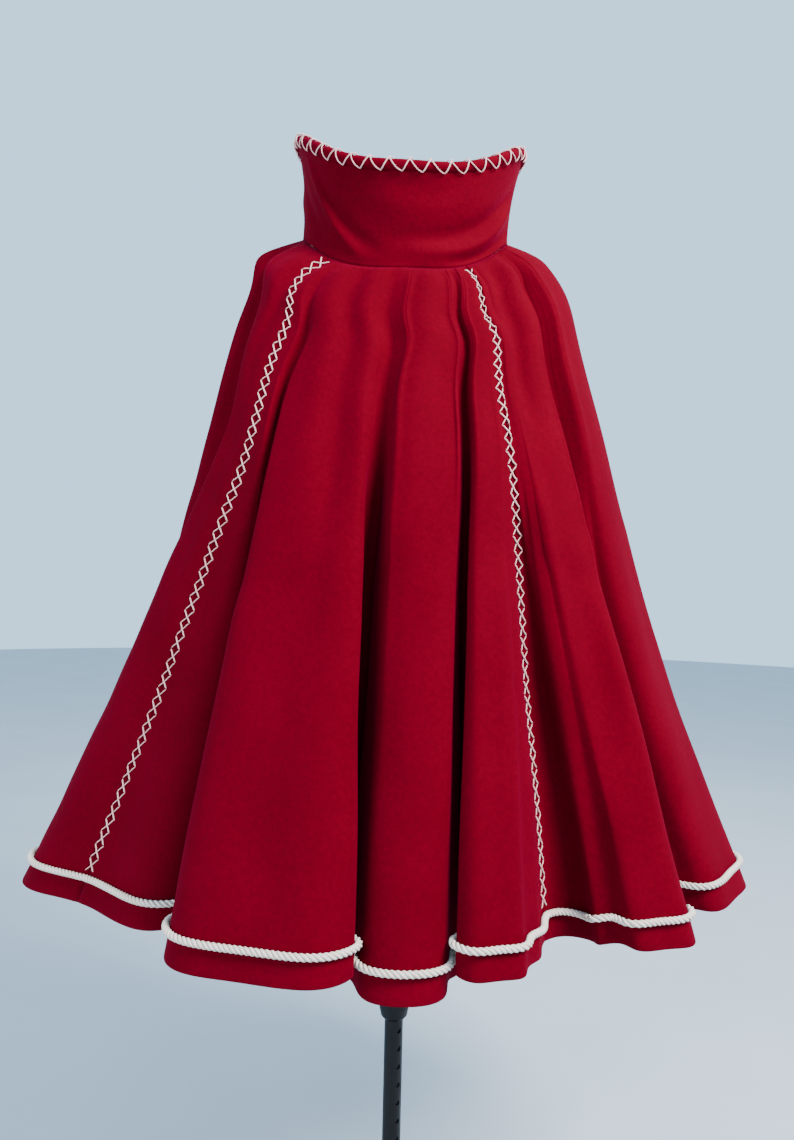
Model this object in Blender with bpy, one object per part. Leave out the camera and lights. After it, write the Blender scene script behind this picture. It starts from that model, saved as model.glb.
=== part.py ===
"""A long wool cape with a tall funnel collar, hung on a limbless dress form with a pole stand.

Metres, +Z up. The origin is on the floor, on the pole's axis, and the front is the -Y side.
Angles round the cape are in degrees from the front, growing towards +X.
"""

import math

import bmesh
import bpy
import numpy as np

# Cloth
WALL = 0.003
SEAM_GAP = 0.0006
SEAT_GAP = 0.0003
COLLAR_WALL = 0.004
COLLAR_SEAT = 0.0008

# Sections of the cape above the free folds, from the neck seam down to the chest.
# turn is how far the folds have moved from their places at the neck to those at the chest, and
# ripple is how far the folds stand out of the smooth shape and sink into it.
SECTION_COLUMNS = (
    "name", "centre_x", "half_width", "front", "back", "side_z", "front_z", "back_z", "turn", "ripple",
)
SECTIONS = (
    ("neck", -0.0085, 0.1395, 0.110, 0.100, 1.3745, 1.306, 1.368, 0.00, 0.0000),
    ("yoke", -0.0095, 0.1600, 0.117, 0.108, 1.3655, 1.292, 1.356, 0.08, 0.0022),
    ("slope", -0.0115, 0.1820, 0.124, 0.117, 1.3545, 1.270, 1.338, 0.20, 0.0040),
    ("corner", -0.0120, 0.1930, 0.132, 0.126, 1.3440, 1.243, 1.312, 0.35, 0.0055),
    ("cap", -0.0040, 0.2050, 0.141, 0.136, 1.3120, 1.212, 1.277, 0.50, 0.0070),
    ("arm", -0.0040, 0.2215, 0.153, 0.150, 1.2550, 1.165, 1.225, 0.75, 0.0090),
    ("chest", -0.0020, 0.2455, 0.172, 0.170, 1.1500, 1.090, 1.130, 1.00, 0.0115),
)

# The folds, going round from the left side over the front. At the hem a fold has a left and a
# right edge, a crown that stands out between them, and a round-bottomed valley after it. A tuck is
# how far its flank bends in under the fold, and bow is how far it hangs out half-way down.
FOLD_COLUMNS = (
    "name", "left_x", "left_y", "right_x", "right_y", "crown", "tuck_left", "tuck_right",
    "valley_x", "valley_y", "valley_width", "hem_z", "bow",
)
FOLDS = (
    ("left_front", -0.514, 0.000, -0.266, -0.169, 0.012, 0.000, 0.004, -0.203, -0.132, 0.030, 0.501, -0.008),
    ("front_left", -0.258, -0.234, -0.048, -0.284, 0.035, 0.000, 0.046, -0.076, -0.158, 0.032, 0.502, 0.003),
    ("front_middle", -0.050, -0.242, 0.060, -0.234, 0.049, 0.002, 0.003, 0.090, -0.154, 0.032, 0.477, 0.000),
    ("front_right", 0.066, -0.281, 0.145, -0.260, 0.009, 0.038, 0.012, 0.207, -0.157, 0.052, 0.503, 0.000),
    ("right_front", 0.260, -0.190, 0.354, -0.168, 0.014, 0.000, 0.014, 0.296, -0.094, 0.032, 0.503, 0.000),
    ("right_side", 0.372, -0.084, 0.480, 0.054, 0.032, 0.002, 0.004, 0.392, 0.088, 0.032, 0.506, -0.014),
    ("right_back", 0.452, 0.128, 0.388, 0.218, 0.020, 0.004, 0.004, 0.310, 0.170, 0.030, 0.505, 0.000),
    ("back_right", 0.312, 0.262, 0.205, 0.318, 0.016, 0.000, 0.008, 0.166, 0.206, 0.032, 0.503, 0.000),
    ("back_middle", 0.132, 0.322, 0.012, 0.335, 0.020, 0.008, 0.008, -0.018, 0.214, 0.032, 0.501, 0.000),
    ("back_left", -0.054, 0.330, -0.155, 0.322, 0.018, 0.008, 0.006, -0.184, 0.206, 0.032, 0.502, 0.000),
    ("left_back", -0.230, 0.298, -0.322, 0.246, 0.018, 0.002, 0.006, -0.308, 0.156, 0.032, 0.504, 0.000),
    ("left_side", -0.388, 0.204, -0.448, 0.104, 0.020, 0.000, 0.000, -0.402, 0.036, 0.032, 0.507, 0.000),
)

# Where each fold's left edge, crown, right edge and valley lie at the neck and at the chest, and
# how far its valley sinks above the chest: -1 sinks as far as the crown stands out, and 1 not at all.
ANGLE_COLUMNS = (
    "name", "neck_left", "neck_crown", "neck_right", "neck_valley",
    "chest_left", "chest_crown", "chest_right", "chest_valley", "dip",
)
FOLD_ANGLES = (
    ("left_front", -66.0, -43.2, -37.5, -34.0, -60.0, -46.3, -42.0, -40.0, -0.2),
    ("front_left", -30.5, -23.0, -11.5, -4.0, -37.5, -24.0, -11.5, -7.0, -1.0),
    ("front_middle", 3.5, 12.0, 20.5, 24.0, -2.5, 6.0, 13.6, 16.4, -0.9),
    ("front_right", 27.0, 28.8, 30.4, 33.4, 18.7, 22.0, 25.2, 28.8, 0.6),
    ("right_front", 37.0, 44.0, 54.0, 59.0, 33.0, 39.0, 47.5, 51.5, -1.0),
    ("right_side", 65.0, 80.0, 98.0, 103.0, 58.0, 76.0, 96.0, 101.0, -1.0),
    ("right_back", 109.0, 118.0, 127.0, 132.0, 108.0, 118.0, 128.0, 133.0, -1.0),
    ("back_right", 137.0, 145.0, 153.0, 158.0, 138.0, 146.0, 154.0, 159.0, -1.0),
    ("back_middle", 163.0, 171.0, 179.0, 184.0, 164.0, 172.0, 180.0, 185.0, -1.0),
    ("back_left", 189.0, 197.0, 205.0, 210.0, 190.0, 198.0, 206.0, 211.0, -1.0),
    ("left_back", 215.0, 223.0, 231.0, 236.0, 216.0, 224.0, 232.0, 238.0, -1.0),
    ("left_side", 243.0, 260.0, 279.0, 286.0, 246.0, 262.0, 282.0, 292.0, -1.0),
)

SCOOP_POWER = 3.2
VALLEY_SINK = 0.008
VALLEY_ROUND = 0.25
FLANK_SHARE = 0.45
EDGE_ROUND = 0.011
EDGE_SPREAD = 0.5
FALL_STEPS = (0.22, 0.46, 0.72)
TRIM_ABOVE_HEM = 0.032
STATIONS_PER_FOLD = 10
WAVE_STATIONS = (2, 4, 8)
STEPS_ROUND = 176
BEND_WEIGHT = 0.08
FINE_STEPS = 2400
NEAR_SEAM = 0.0012
PLACE_STEP = 0.00001

# Seams between the panels: the fold, and how many of its ten stations they lie past its start
SEAMS = (("left_seam", "left_front", 2.93), ("right_seam", "front_right", 6.9), ("back_seam", "back_middle", 8.0))
PANELS = (
    ("front_panel", "left_seam", "right_seam"),
    ("right_panel", "right_seam", "back_seam"),
    ("left_panel", "back_seam", "left_seam"),
)

# Collar
COLLAR_STEPS = 72
COLLAR_TOP = {"centre_x": -0.0045, "half_width": 0.1500, "front": 0.128, "back": 0.122}
RIM_SIDE_Z = 1.4990
RIM_FRONT_Z = 1.4235
RIM_BACK_Z = 1.498
RIM_TILT = -0.034
RIM_POWER = 2.8
RIM_RADIUS = 0.0068
RIM_SIDES = 8
COLLAR_LEVELS = (0.0, 0.35, 0.70, 1.0)
COLLAR_HOLLOW = 0.004

# Hem trim
TRIM_RADIUS = 0.0042
TRIM_SIDES = 6
TRIM_GAP = 0.0005

# Dress form. Its neck and body are level ovals, and between them its shoulders lie just inside the
# cape's own sections.
NECK_COLUMNS = ("z", "half_width", "front", "back")
FORM_NECK = (
    (1.4440, 0.048, 0.048, 0.048),
    (1.4400, 0.052, 0.052, 0.052),
    (1.4150, 0.054, 0.052, 0.054),
    (1.3950, 0.070, 0.058, 0.062),
)
FORM_BODY = (
    (1.1700, 0.172, 0.126, 0.124),
    (1.1000, 0.158, 0.122, 0.116),
    (0.9700, 0.128, 0.095, 0.094),
    (0.8800, 0.148, 0.108, 0.112),
    (0.8000, 0.166, 0.118, 0.126),
    (0.7450, 0.166, 0.116, 0.122),
    (0.7350, 0.160, 0.110, 0.116),
)
FORM_SHOULDERS = ("neck", "yoke", "slope", "corner", "cap")
FORM_NECK_INSET = 0.0085
FORM_GAP = 0.0010
FORM_STEPS = 36
FORM_BOTTOM = 0.735
NECK_CAP_RADIUS = 0.048
NECK_CAP_HEIGHT = 0.012

# Stand
POLE_RADIUS = 0.0125
POLE_TOP = 0.550
POLE_STEPS = 20
NOTCH_PITCH = 0.0245
NOTCH_FIRST = 0.060
NOTCH_COUNT = 20
NOTCH_RADIUS = 0.0035
NOTCH_DEPTH = 0.0022
NOTCH_ANGLE = 38.0
BORE_RADIUS = 0.0131
TUBE_RADIUS = 0.0165
LOCK_BOTTOM = 0.3195
LOCK_TOP = 0.385
LOCK_RADIUS = 0.0205
LOCK_MOUTH_RADIUS = 0.0180
BASE_RADIUS = 0.175
BASE_THICK = 0.012
BOSS_RADIUS = 0.030
BOSS_TOP = 0.032
ROUND_STEPS = 32

# Finishes: base colour, roughness and metallic
FINISHES = {
    "wool": ((0.36, 0.003, 0.022, 1.0), 0.92, 0.0),
    "trim": ((0.82, 0.78, 0.70, 1.0), 0.80, 0.0),
    "jersey": ((0.035, 0.035, 0.038, 1.0), 0.90, 0.0),
    "black_paint": ((0.018, 0.018, 0.020, 1.0), 0.38, 0.0),
}


def rows(columns, table):
    """The table's rows as dictionaries."""
    return [dict(zip(columns, row)) for row in table]


def closed_spline(knots, values, at):
    """Smooth closed curve through values at the knots, which run from 0 to below 1."""
    knots = np.asarray(knots, float)
    values = np.asarray(values, float)
    count = len(knots)
    steps = np.diff(np.append(knots, knots[0] + 1.0))
    slopes = (np.roll(values, -1, axis=0) - values) / steps[:, None]
    system = np.zeros((count, count))
    for i in range(count):
        before = steps[i - 1]
        system[i, i - 1] += before
        system[i, i] += 2.0 * (before + steps[i])
        system[i, (i + 1) % count] += steps[i]
    bends = np.linalg.solve(system, 6.0 * (slopes - np.roll(slopes, 1, axis=0)))
    at = np.asarray(at, float) % 1.0
    i = np.searchsorted(knots, at, side="right") - 1
    step = steps[i][:, None]
    part = ((at - knots[i]) / steps[i])[:, None]
    j = (i + 1) % count
    rest = 1.0 - part
    straight = rest * values[i] + part * values[j]
    return straight + step**2 / 6.0 * ((rest**3 - rest) * bends[i] + (part**3 - part) * bends[j])


def rising_curve(knots, values, at):
    """Smooth curve of angles that never turns back; the values rise by 360 from one turn to the next."""
    x = np.concatenate((knots - 1.0, knots, knots + 1.0))
    y = np.concatenate((values - 360.0, values, values + 360.0))
    step = np.diff(x)
    slope = np.diff(y) / step
    before = 2.0 * step[1:] + step[:-1]
    after = step[1:] + 2.0 * step[:-1]
    tangent = np.zeros(len(x))
    tangent[1:-1] = (before + after) / (before / slope[:-1] + after / slope[1:])
    at = np.asarray(at, float)
    turns = np.floor(at)
    at = at - turns
    i = np.searchsorted(x, at, side="right") - 1
    part = (at - x[i]) / step[i]
    rest = 1.0 - part
    ends = y[i] * (1.0 + 2.0 * part) * rest**2 + y[i + 1] * (3.0 - 2.0 * part) * part**2
    return ends + step[i] * part * rest * (tangent[i] * rest - tangent[i + 1] * part) + 360.0 * turns


def wave_round(angles, degrees):
    """How far the angles lie on a fold (1) or in a valley (-1), for one section's station angles."""
    picked = angles.reshape(-1, STATIONS_PER_FOLD)[:, WAVE_STATIONS].ravel()
    levels = np.array([(1.0, 1.0, angle["dip"]) for angle in rows(ANGLE_COLUMNS, FOLD_ANGLES)]).ravel()
    x = np.concatenate((picked - 360.0, picked, picked + 360.0, picked + 720.0))
    y = np.tile(levels, 4)
    i = np.searchsorted(x, degrees, side="right") - 1
    part = (degrees - x[i]) / (x[i + 1] - x[i])
    return y[i] + (y[i + 1] - y[i]) * part**2 * (3.0 - 2.0 * part)


def fold_stations():
    """The stations round the cape: hem points in plan, hem heights, angles at the neck and the
    chest, and bows."""
    folds = rows(FOLD_COLUMNS, FOLDS)
    angles = rows(ANGLE_COLUMNS, FOLD_ANGLES)
    hem, height, neck, chest, bow = [], [], [], [], []
    for index, (fold, angle) in enumerate(zip(folds, angles)):
        left = np.array((fold["left_x"], fold["left_y"]))
        right = np.array((fold["right_x"], fold["right_y"]))
        valley = np.array((fold["valley_x"], fold["valley_y"]))
        last = folds[index - 1]
        following = folds[(index + 1) % len(folds)]
        last_valley = np.array((last["valley_x"], last["valley_y"]))
        last_angle = dict(angles[index - 1])
        if index == 0:
            last_angle["neck_valley"] -= 360.0
            last_angle["chest_valley"] -= 360.0
        along = (right - left) / np.linalg.norm(right - left)
        outward = np.array((along[1], -along[0]))
        crown = (left + right) / 2.0 + outward * fold["crown"]
        half = np.linalg.norm(right - left) / 2.0
        brow = outward * fold["crown"] * math.sqrt(1.0 - (1.0 - EDGE_ROUND / half) ** 2)
        flank_left = left + (last_valley - left) * FLANK_SHARE + along * fold["tuck_left"]
        flank_right = right + (valley - right) * FLANK_SHARE - along * fold["tuck_right"]
        mouth = (right + np.array((following["left_x"], following["left_y"]))) / 2.0 - valley
        mouth /= np.linalg.norm(mouth)
        round_ = np.array((-mouth[1], mouth[0])) * fold["valley_width"] / 2.0
        hem += [
            flank_left,
            left - outward * EDGE_ROUND,
            left + along * EDGE_ROUND + brow,
            crown,
            right - along * EDGE_ROUND + brow,
            right - outward * EDGE_ROUND,
            flank_right,
            valley - round_,
            valley - mouth * fold["valley_width"] * VALLEY_ROUND,
            valley + round_,
        ]
        low = (fold["hem_z"] + following["hem_z"]) / 2.0 - VALLEY_SINK
        height += [fold["hem_z"] - VALLEY_SINK / 2.0] + [fold["hem_z"]] * 5
        height += [fold["hem_z"] - VALLEY_SINK / 2.0, low, low, low]
        for place, found in (("neck", neck), ("chest", chest)):
            before = last_angle[place + "_valley"]
            start, middle, end, after = (angle[place + "_" + key] for key in ("left", "crown", "right", "valley"))
            rise = (start - before) / 4.0
            fall = (after - end) / 4.0
            found += [start - 2.0 * rise, start - rise * EDGE_SPREAD, start + rise * EDGE_SPREAD, middle]
            found += [end - fall * EDGE_SPREAD, end + fall * EDGE_SPREAD, end + 2.0 * fall]
            found += [after - fall * EDGE_SPREAD, after, after + fall * EDGE_SPREAD]
        bow += [0.0] + [fold["bow"]] * 5 + [0.0] * 4
    return [np.array(found) for found in (hem, height, neck, chest, bow)]


def station_knots(hem):
    """Places of the stations round the hem, from 0 to below 1, by their distance along it."""
    spans = np.linalg.norm(np.roll(hem, -1, axis=0) - hem, axis=1)
    return np.concatenate(([0.0], np.cumsum(spans)[:-1])) / spans.sum()


def oval_points(section, degrees):
    """Points of one smooth section of the cape at the angles."""
    turn = np.radians(degrees)
    sine = np.sin(turn)
    cosine = np.cos(turn)
    reach = np.where(cosine > 0.0, section["front"], section["back"])
    end_z = np.where(cosine > 0.0, section["front_z"], section["back_z"])
    x = section["centre_x"] + section["half_width"] * sine
    z = end_z + (section["side_z"] - end_z) * np.abs(sine) ** SCOOP_POWER
    return np.stack((x, -reach * cosine, z), axis=1)


def normals_of(grid, round_):
    """Outward unit normals of a grid of rings from the neck down, with each point's way round."""
    normals = np.cross(np.gradient(grid, axis=0), round_)
    return normals / np.linalg.norm(normals, axis=2, keepdims=True)


def cape_grid(at):
    """Outer points of the cape: one ring for each section and fall step, one point for each place."""
    hem, height, neck, chest, bow = fold_stations()
    knots = station_knots(hem)
    bottom = closed_spline(knots, np.column_stack((hem, height)), at)
    neck_at = rising_curve(knots, neck, at)
    chest_at = rising_curve(knots, chest, at)
    bow_at = closed_spline(knots, bow[:, None], at)[:, 0]
    smooth = []
    round_ = []
    ripples = []
    for section in rows(SECTION_COLUMNS, SECTIONS):
        degrees = neck_at + (chest_at - neck_at) * section["turn"]
        smooth.append(oval_points(section, degrees))
        round_.append(oval_points(section, degrees + 1.0) - oval_points(section, degrees - 1.0))
        wave = wave_round(neck + (chest - neck) * section["turn"], degrees)
        ripples.append(section["ripple"] * wave)
    smooth = np.stack(smooth)
    upper = smooth + normals_of(smooth, np.stack(round_)) * np.stack(ripples)[:, :, None]
    start = upper[-1]
    outward = bottom[:, :2] / np.linalg.norm(bottom[:, :2], axis=1, keepdims=True)
    trim_step = 1.0 - TRIM_ABOVE_HEM / (start[:, 2] - bottom[:, 2]).mean()
    lower = []
    for step in FALL_STEPS + (trim_step, 1.0):
        ring = start + (bottom - start) * step
        ring[:, :2] += outward * (4.0 * step * (1.0 - step) * bow_at)[:, None]
        lower.append(ring)
    return np.concatenate((upper, np.stack(lower)))


def cape_surface(at):
    """Outer points of the cape, its outward normals and its way round at the places."""
    grid = cape_grid(at)
    round_ = cape_grid(at + PLACE_STEP) - cape_grid(at - PLACE_STEP)
    return grid, normals_of(grid, round_), round_ / np.linalg.norm(round_, axis=2, keepdims=True)


def places_round():
    """Places round the cape where the panels have points, closer where the folds bend, and the seams
    among them by name."""
    hem = fold_stations()[0]
    knots = np.append(station_knots(hem), 1.0)
    fine = np.arange(FINE_STEPS) / FINE_STEPS
    line = closed_spline(knots[:-1], hem, fine)
    ahead = np.roll(line, -1, axis=0) - line
    heading = np.arctan2(ahead[:, 1], ahead[:, 0])
    bend = np.abs((np.roll(heading, -1) - heading + math.pi) % (2.0 * math.pi) - math.pi)
    weight = np.linalg.norm(ahead, axis=1) + BEND_WEIGHT * bend
    total = np.concatenate(([0.0], np.cumsum(weight)))
    wanted = np.arange(STEPS_ROUND) / STEPS_ROUND * total[-1]
    places = np.interp(wanted, total, np.append(fine, 1.0))
    names = [fold[0] for fold in FOLDS]
    seams = {}
    for name, fold, stations in SEAMS:
        station = names.index(fold) * STATIONS_PER_FOLD + int(stations)
        share = stations - int(stations)
        seams[name] = knots[station] + (knots[station + 1] - knots[station]) * share
    for seam in seams.values():
        places = np.append(places[np.abs(places - seam) > NEAR_SEAM], seam)
    return np.sort(places), seams


def material(name):
    """A plain material with one of the finishes."""
    colour, roughness, metallic = FINISHES[name]
    made = bpy.data.materials.get(name) or bpy.data.materials.new(name)
    made.use_nodes = True
    shader = made.node_tree.nodes["Principled BSDF"]
    shader.inputs["Base Color"].default_value = colour
    shader.inputs["Roughness"].default_value = roughness
    shader.inputs["Metallic"].default_value = metallic
    made.diffuse_color = colour
    return made


def add_mesh(name, points, faces, finish, sharp=40.0):
    """One named object from points and faces, with its faces turned outwards."""
    mesh = bpy.data.meshes.new(name)
    mesh.from_pydata([tuple(point) for point in points], [], faces)
    edit = bmesh.new()
    edit.from_mesh(mesh)
    bmesh.ops.recalc_face_normals(edit, faces=edit.faces)
    if edit.calc_volume(signed=True) < 0.0:
        bmesh.ops.reverse_faces(edit, faces=edit.faces)
    edit.to_mesh(mesh)
    edit.free()
    mesh.shade_smooth()
    mesh.set_sharp_from_angle(angle=math.radians(sharp))
    mesh.materials.append(material(finish))
    made = bpy.data.objects.new(name, mesh)
    bpy.context.scene.collection.objects.link(made)
    return made


def add_wall(name, outer, inner, finish, closed):
    """A wall between two grids of points with the same shape, closed round or ending at two edges."""
    rings, steps = outer.shape[:2]
    count = rings * steps
    points = np.concatenate((outer.reshape(-1, 3), inner.reshape(-1, 3)))
    faces = []
    across = steps if closed else steps - 1
    for ring in range(rings - 1):
        for step in range(across):
            a = ring * steps + step
            b = ring * steps + (step + 1) % steps
            c = b + steps
            d = a + steps
            faces.append((a, d, c, b))
            faces.append((a + count, b + count, c + count, d + count))
    for ring, flip in ((0, False), (rings - 1, True)):
        for step in range(across):
            a = ring * steps + step
            b = ring * steps + (step + 1) % steps
            face = (a, b, b + count, a + count)
            faces.append(face[::-1] if flip else face)
    if not closed:
        for step, flip in ((0, True), (steps - 1, False)):
            for ring in range(rings - 1):
                a = ring * steps + step
                b = a + steps
                face = (a, b, b + count, a + count)
                faces.append(face[::-1] if flip else face)
    return add_mesh(name, points, faces, finish)


def square_frame(centres, side):
    """Unit side and up vectors square to a loop of points, the side ones near those given."""
    ahead = np.roll(centres, -1, axis=0) - np.roll(centres, 1, axis=0)
    up = np.cross(side, ahead)
    up /= np.linalg.norm(up, axis=1, keepdims=True)
    side = np.cross(ahead, up)
    return side / np.linalg.norm(side, axis=1, keepdims=True), up


def add_loop_tube(name, centres, side, radius, sides, finish):
    """A closed round tube along a loop of points, its section turned to the side vectors."""
    side, up = square_frame(centres, side)
    steps = len(centres)
    rings = []
    for k in range(sides):
        turn = 2.0 * math.pi * (k + 0.5) / sides
        rings.append(centres + radius * (math.cos(turn) * side + math.sin(turn) * up))
    points = np.stack(rings, axis=1).reshape(-1, 3)
    faces = []
    for i in range(steps):
        for k in range(sides):
            a = i * sides + k
            b = i * sides + (k + 1) % sides
            c = ((i + 1) % steps) * sides + (k + 1) % sides
            d = ((i + 1) % steps) * sides + k
            faces.append((a, b, c, d))
    return add_mesh(name, points, faces, finish, sharp=70.0)


def add_panels():
    """The three panels, each a wall between two seams, from the neck seam to the hem."""
    places, seams = places_round()
    for name, start, end in PANELS:
        first = seams[start]
        last = seams[end]
        if last <= first:
            last += 1.0
        span = [place for place in np.concatenate((places, places + 1.0)) if first < place < last]
        at = np.array([first] + span + [last])
        outer, normals, level = cape_surface(at)
        outer[:, 0] += level[:, 0] * SEAM_GAP / 2.0
        outer[:, -1] -= level[:, -1] * SEAM_GAP / 2.0
        add_wall(name, outer, outer - normals * WALL, "wool", closed=False)


def add_hem_trim():
    """The twisted cord's plain round body, laid on the cape a little above its hem."""
    places, _ = places_round()
    grid, normals, _ = cape_surface(places)
    out = normals[-2]
    centres = grid[-2] + out * (TRIM_RADIUS + TRIM_GAP)
    add_loop_tube("hem_cord", centres, out, TRIM_RADIUS, TRIM_SIDES, "trim")


def collar_rings():
    """Outer points of the collar's wall, from the neck seam up, and the rim's middle line."""
    degrees = np.arange(COLLAR_STEPS) * 360.0 / COLLAR_STEPS
    turn = np.radians(degrees)
    neck = rows(SECTION_COLUMNS, SECTIONS)[0]
    base = oval_points(neck, degrees)
    base[:, 2] += COLLAR_SEAT
    cosine = np.cos(turn)
    reach = np.where(cosine > 0.0, COLLAR_TOP["front"], COLLAR_TOP["back"])
    end_z = np.where(cosine > 0.0, RIM_FRONT_Z, RIM_BACK_Z)
    x = COLLAR_TOP["centre_x"] + COLLAR_TOP["half_width"] * np.sin(turn)
    z = end_z + (RIM_SIDE_Z - end_z) * np.abs(np.sin(turn)) ** RIM_POWER + RIM_TILT * x
    rim = np.stack((x, -reach * cosine, z), axis=1)
    outward = np.stack((np.sin(turn), -cosine, np.zeros_like(turn)), axis=1)
    _, up = square_frame(rim, outward)
    reach = RIM_RADIUS * math.cos(math.pi / RIM_SIDES) + SEAT_GAP
    top = rim + outward * COLLAR_WALL / 2.0 - up * reach
    levels = []
    for level in COLLAR_LEVELS:
        ring = base + (top - base) * level
        ring -= outward * (COLLAR_HOLLOW * 4.0 * level * (1.0 - level))
        levels.append(ring)
    return np.stack(levels), outward, rim


def add_collar():
    """The collar's wall and the rolled edge that lies on it."""
    outer, outward, rim = collar_rings()
    add_wall("collar", outer, outer - outward * COLLAR_WALL, "wool", closed=True)
    add_loop_tube("collar_rim", rim, outward, RIM_RADIUS, RIM_SIDES, "wool")


def add_turned(name, profile, steps, finish, sharp=40.0):
    """A turned solid from (radius, z) pairs round the axis; a closed profile makes a tube."""
    closed = profile[0][0] > 0.0
    points = []
    for radius, z in profile:
        if radius > 0.0:
            for step in range(steps):
                turn = 2.0 * math.pi * step / steps
                points.append((radius * math.cos(turn), radius * math.sin(turn), z))
        else:
            points.append((0.0, 0.0, z))
    starts = []
    index = 0
    for radius, _ in profile:
        starts.append(index)
        index += steps if radius > 0.0 else 1
    faces = []
    pairs = list(zip(range(len(profile) - 1), range(1, len(profile))))
    if closed:
        pairs.append((len(profile) - 1, 0))
    for low, high in pairs:
        for step in range(steps):
            after = (step + 1) % steps
            a = starts[low] + (step if profile[low][0] > 0.0 else 0)
            b = starts[low] + (after if profile[low][0] > 0.0 else 0)
            c = starts[high] + (after if profile[high][0] > 0.0 else 0)
            d = starts[high] + (step if profile[high][0] > 0.0 else 0)
            faces.append(tuple(dict.fromkeys((a, b, c, d))))
    return add_mesh(name, points, faces, finish, sharp)


def form_rings():
    """Rings of the dress form, from the top of its neck to its bottom."""
    degrees = np.arange(FORM_STEPS) * 360.0 / FORM_STEPS
    turn = np.radians(degrees)
    levels = []
    for table in (FORM_NECK, FORM_BODY):
        rings = []
        for section in rows(NECK_COLUMNS, table):
            reach = np.where(np.cos(turn) > 0.0, section["front"], section["back"])
            height = np.full(FORM_STEPS, section["z"])
            rings.append(np.stack((section["half_width"] * np.sin(turn), -reach * np.cos(turn), height), axis=1))
        levels.append(np.stack(rings))
    sections = [section for section in rows(SECTION_COLUMNS, SECTIONS) if section["name"] in FORM_SHOULDERS]
    smooth = np.stack([oval_points(section, degrees) for section in sections])
    inset = np.array([WALL + section["ripple"] + FORM_GAP for section in sections])
    inset[0] = FORM_NECK_INSET
    round_ = np.roll(smooth, -1, axis=1) - np.roll(smooth, 1, axis=1)
    shoulders = smooth - normals_of(smooth, round_) * inset[:, None, None]
    return np.concatenate((levels[0], shoulders, levels[1]))


def add_form():
    """The limbless torso with its neck, and the flat cap on the neck."""
    rings = form_rings()
    points = rings.reshape(-1, 3)
    faces = []
    for ring in range(len(rings) - 1):
        for step in range(FORM_STEPS):
            a = ring * FORM_STEPS + step
            b = ring * FORM_STEPS + (step + 1) % FORM_STEPS
            faces.append((a, b, b + FORM_STEPS, a + FORM_STEPS))
    last = (len(rings) - 1) * FORM_STEPS
    faces.append(tuple(range(FORM_STEPS)))
    faces.append(tuple(range(last, last + FORM_STEPS)))
    add_mesh("dress_form", points, faces, "jersey", sharp=50.0)
    low = FORM_NECK[0][0] + SEAT_GAP
    edge = 0.003
    cap = (
        (0.0, low),
        (NECK_CAP_RADIUS, low),
        (NECK_CAP_RADIUS, low + NECK_CAP_HEIGHT - edge),
        (NECK_CAP_RADIUS - edge, low + NECK_CAP_HEIGHT),
        (0.0, low + NECK_CAP_HEIGHT),
    )
    add_turned("neck_cap", cap, ROUND_STEPS, "black_paint")


def add_pole():
    """The notched pole of the stand."""
    foot = BOSS_TOP + SEAT_GAP
    edge = 0.0015
    profile = (
        (0.0, foot),
        (POLE_RADIUS, foot),
        (POLE_RADIUS, POLE_TOP - edge),
        (POLE_RADIUS - edge, POLE_TOP),
        (0.0, POLE_TOP),
    )
    pole = add_turned("pole", profile, POLE_STEPS, "black_paint")
    cutter = bpy.data.meshes.new("notches")
    edit = bmesh.new()
    turn = math.radians(NOTCH_ANGLE)
    outward = np.array((math.sin(turn), -math.cos(turn), 0.0))
    across = np.array((math.cos(turn), math.sin(turn), 0.0))
    for notch in range(NOTCH_COUNT):
        z = NOTCH_FIRST + NOTCH_PITCH * notch
        rings = []
        for reach in (POLE_RADIUS - NOTCH_DEPTH, POLE_RADIUS + NOTCH_DEPTH):
            ring = []
            for step in range(8):
                bend = math.pi * (step + 0.5) / 4.0
                place = outward * reach + across * NOTCH_RADIUS * math.cos(bend)
                ring.append(edit.verts.new((place[0], place[1], z + NOTCH_RADIUS * math.sin(bend))))
            rings.append(ring)
        for step in range(8):
            after = (step + 1) % 8
            edit.faces.new((rings[0][step], rings[0][after], rings[1][after], rings[1][step]))
        edit.faces.new(rings[0][::-1])
        edit.faces.new(rings[1])
    bmesh.ops.recalc_face_normals(edit, faces=edit.faces)
    edit.to_mesh(cutter)
    edit.free()
    notches = bpy.data.objects.new("notches", cutter)
    notches.hide_render = True
    notches.display_type = "WIRE"
    bpy.context.scene.collection.objects.link(notches)
    cut = pole.modifiers.new("notches", "BOOLEAN")
    cut.operation = "DIFFERENCE"
    cut.solver = "EXACT"
    cut.object = notches


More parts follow.
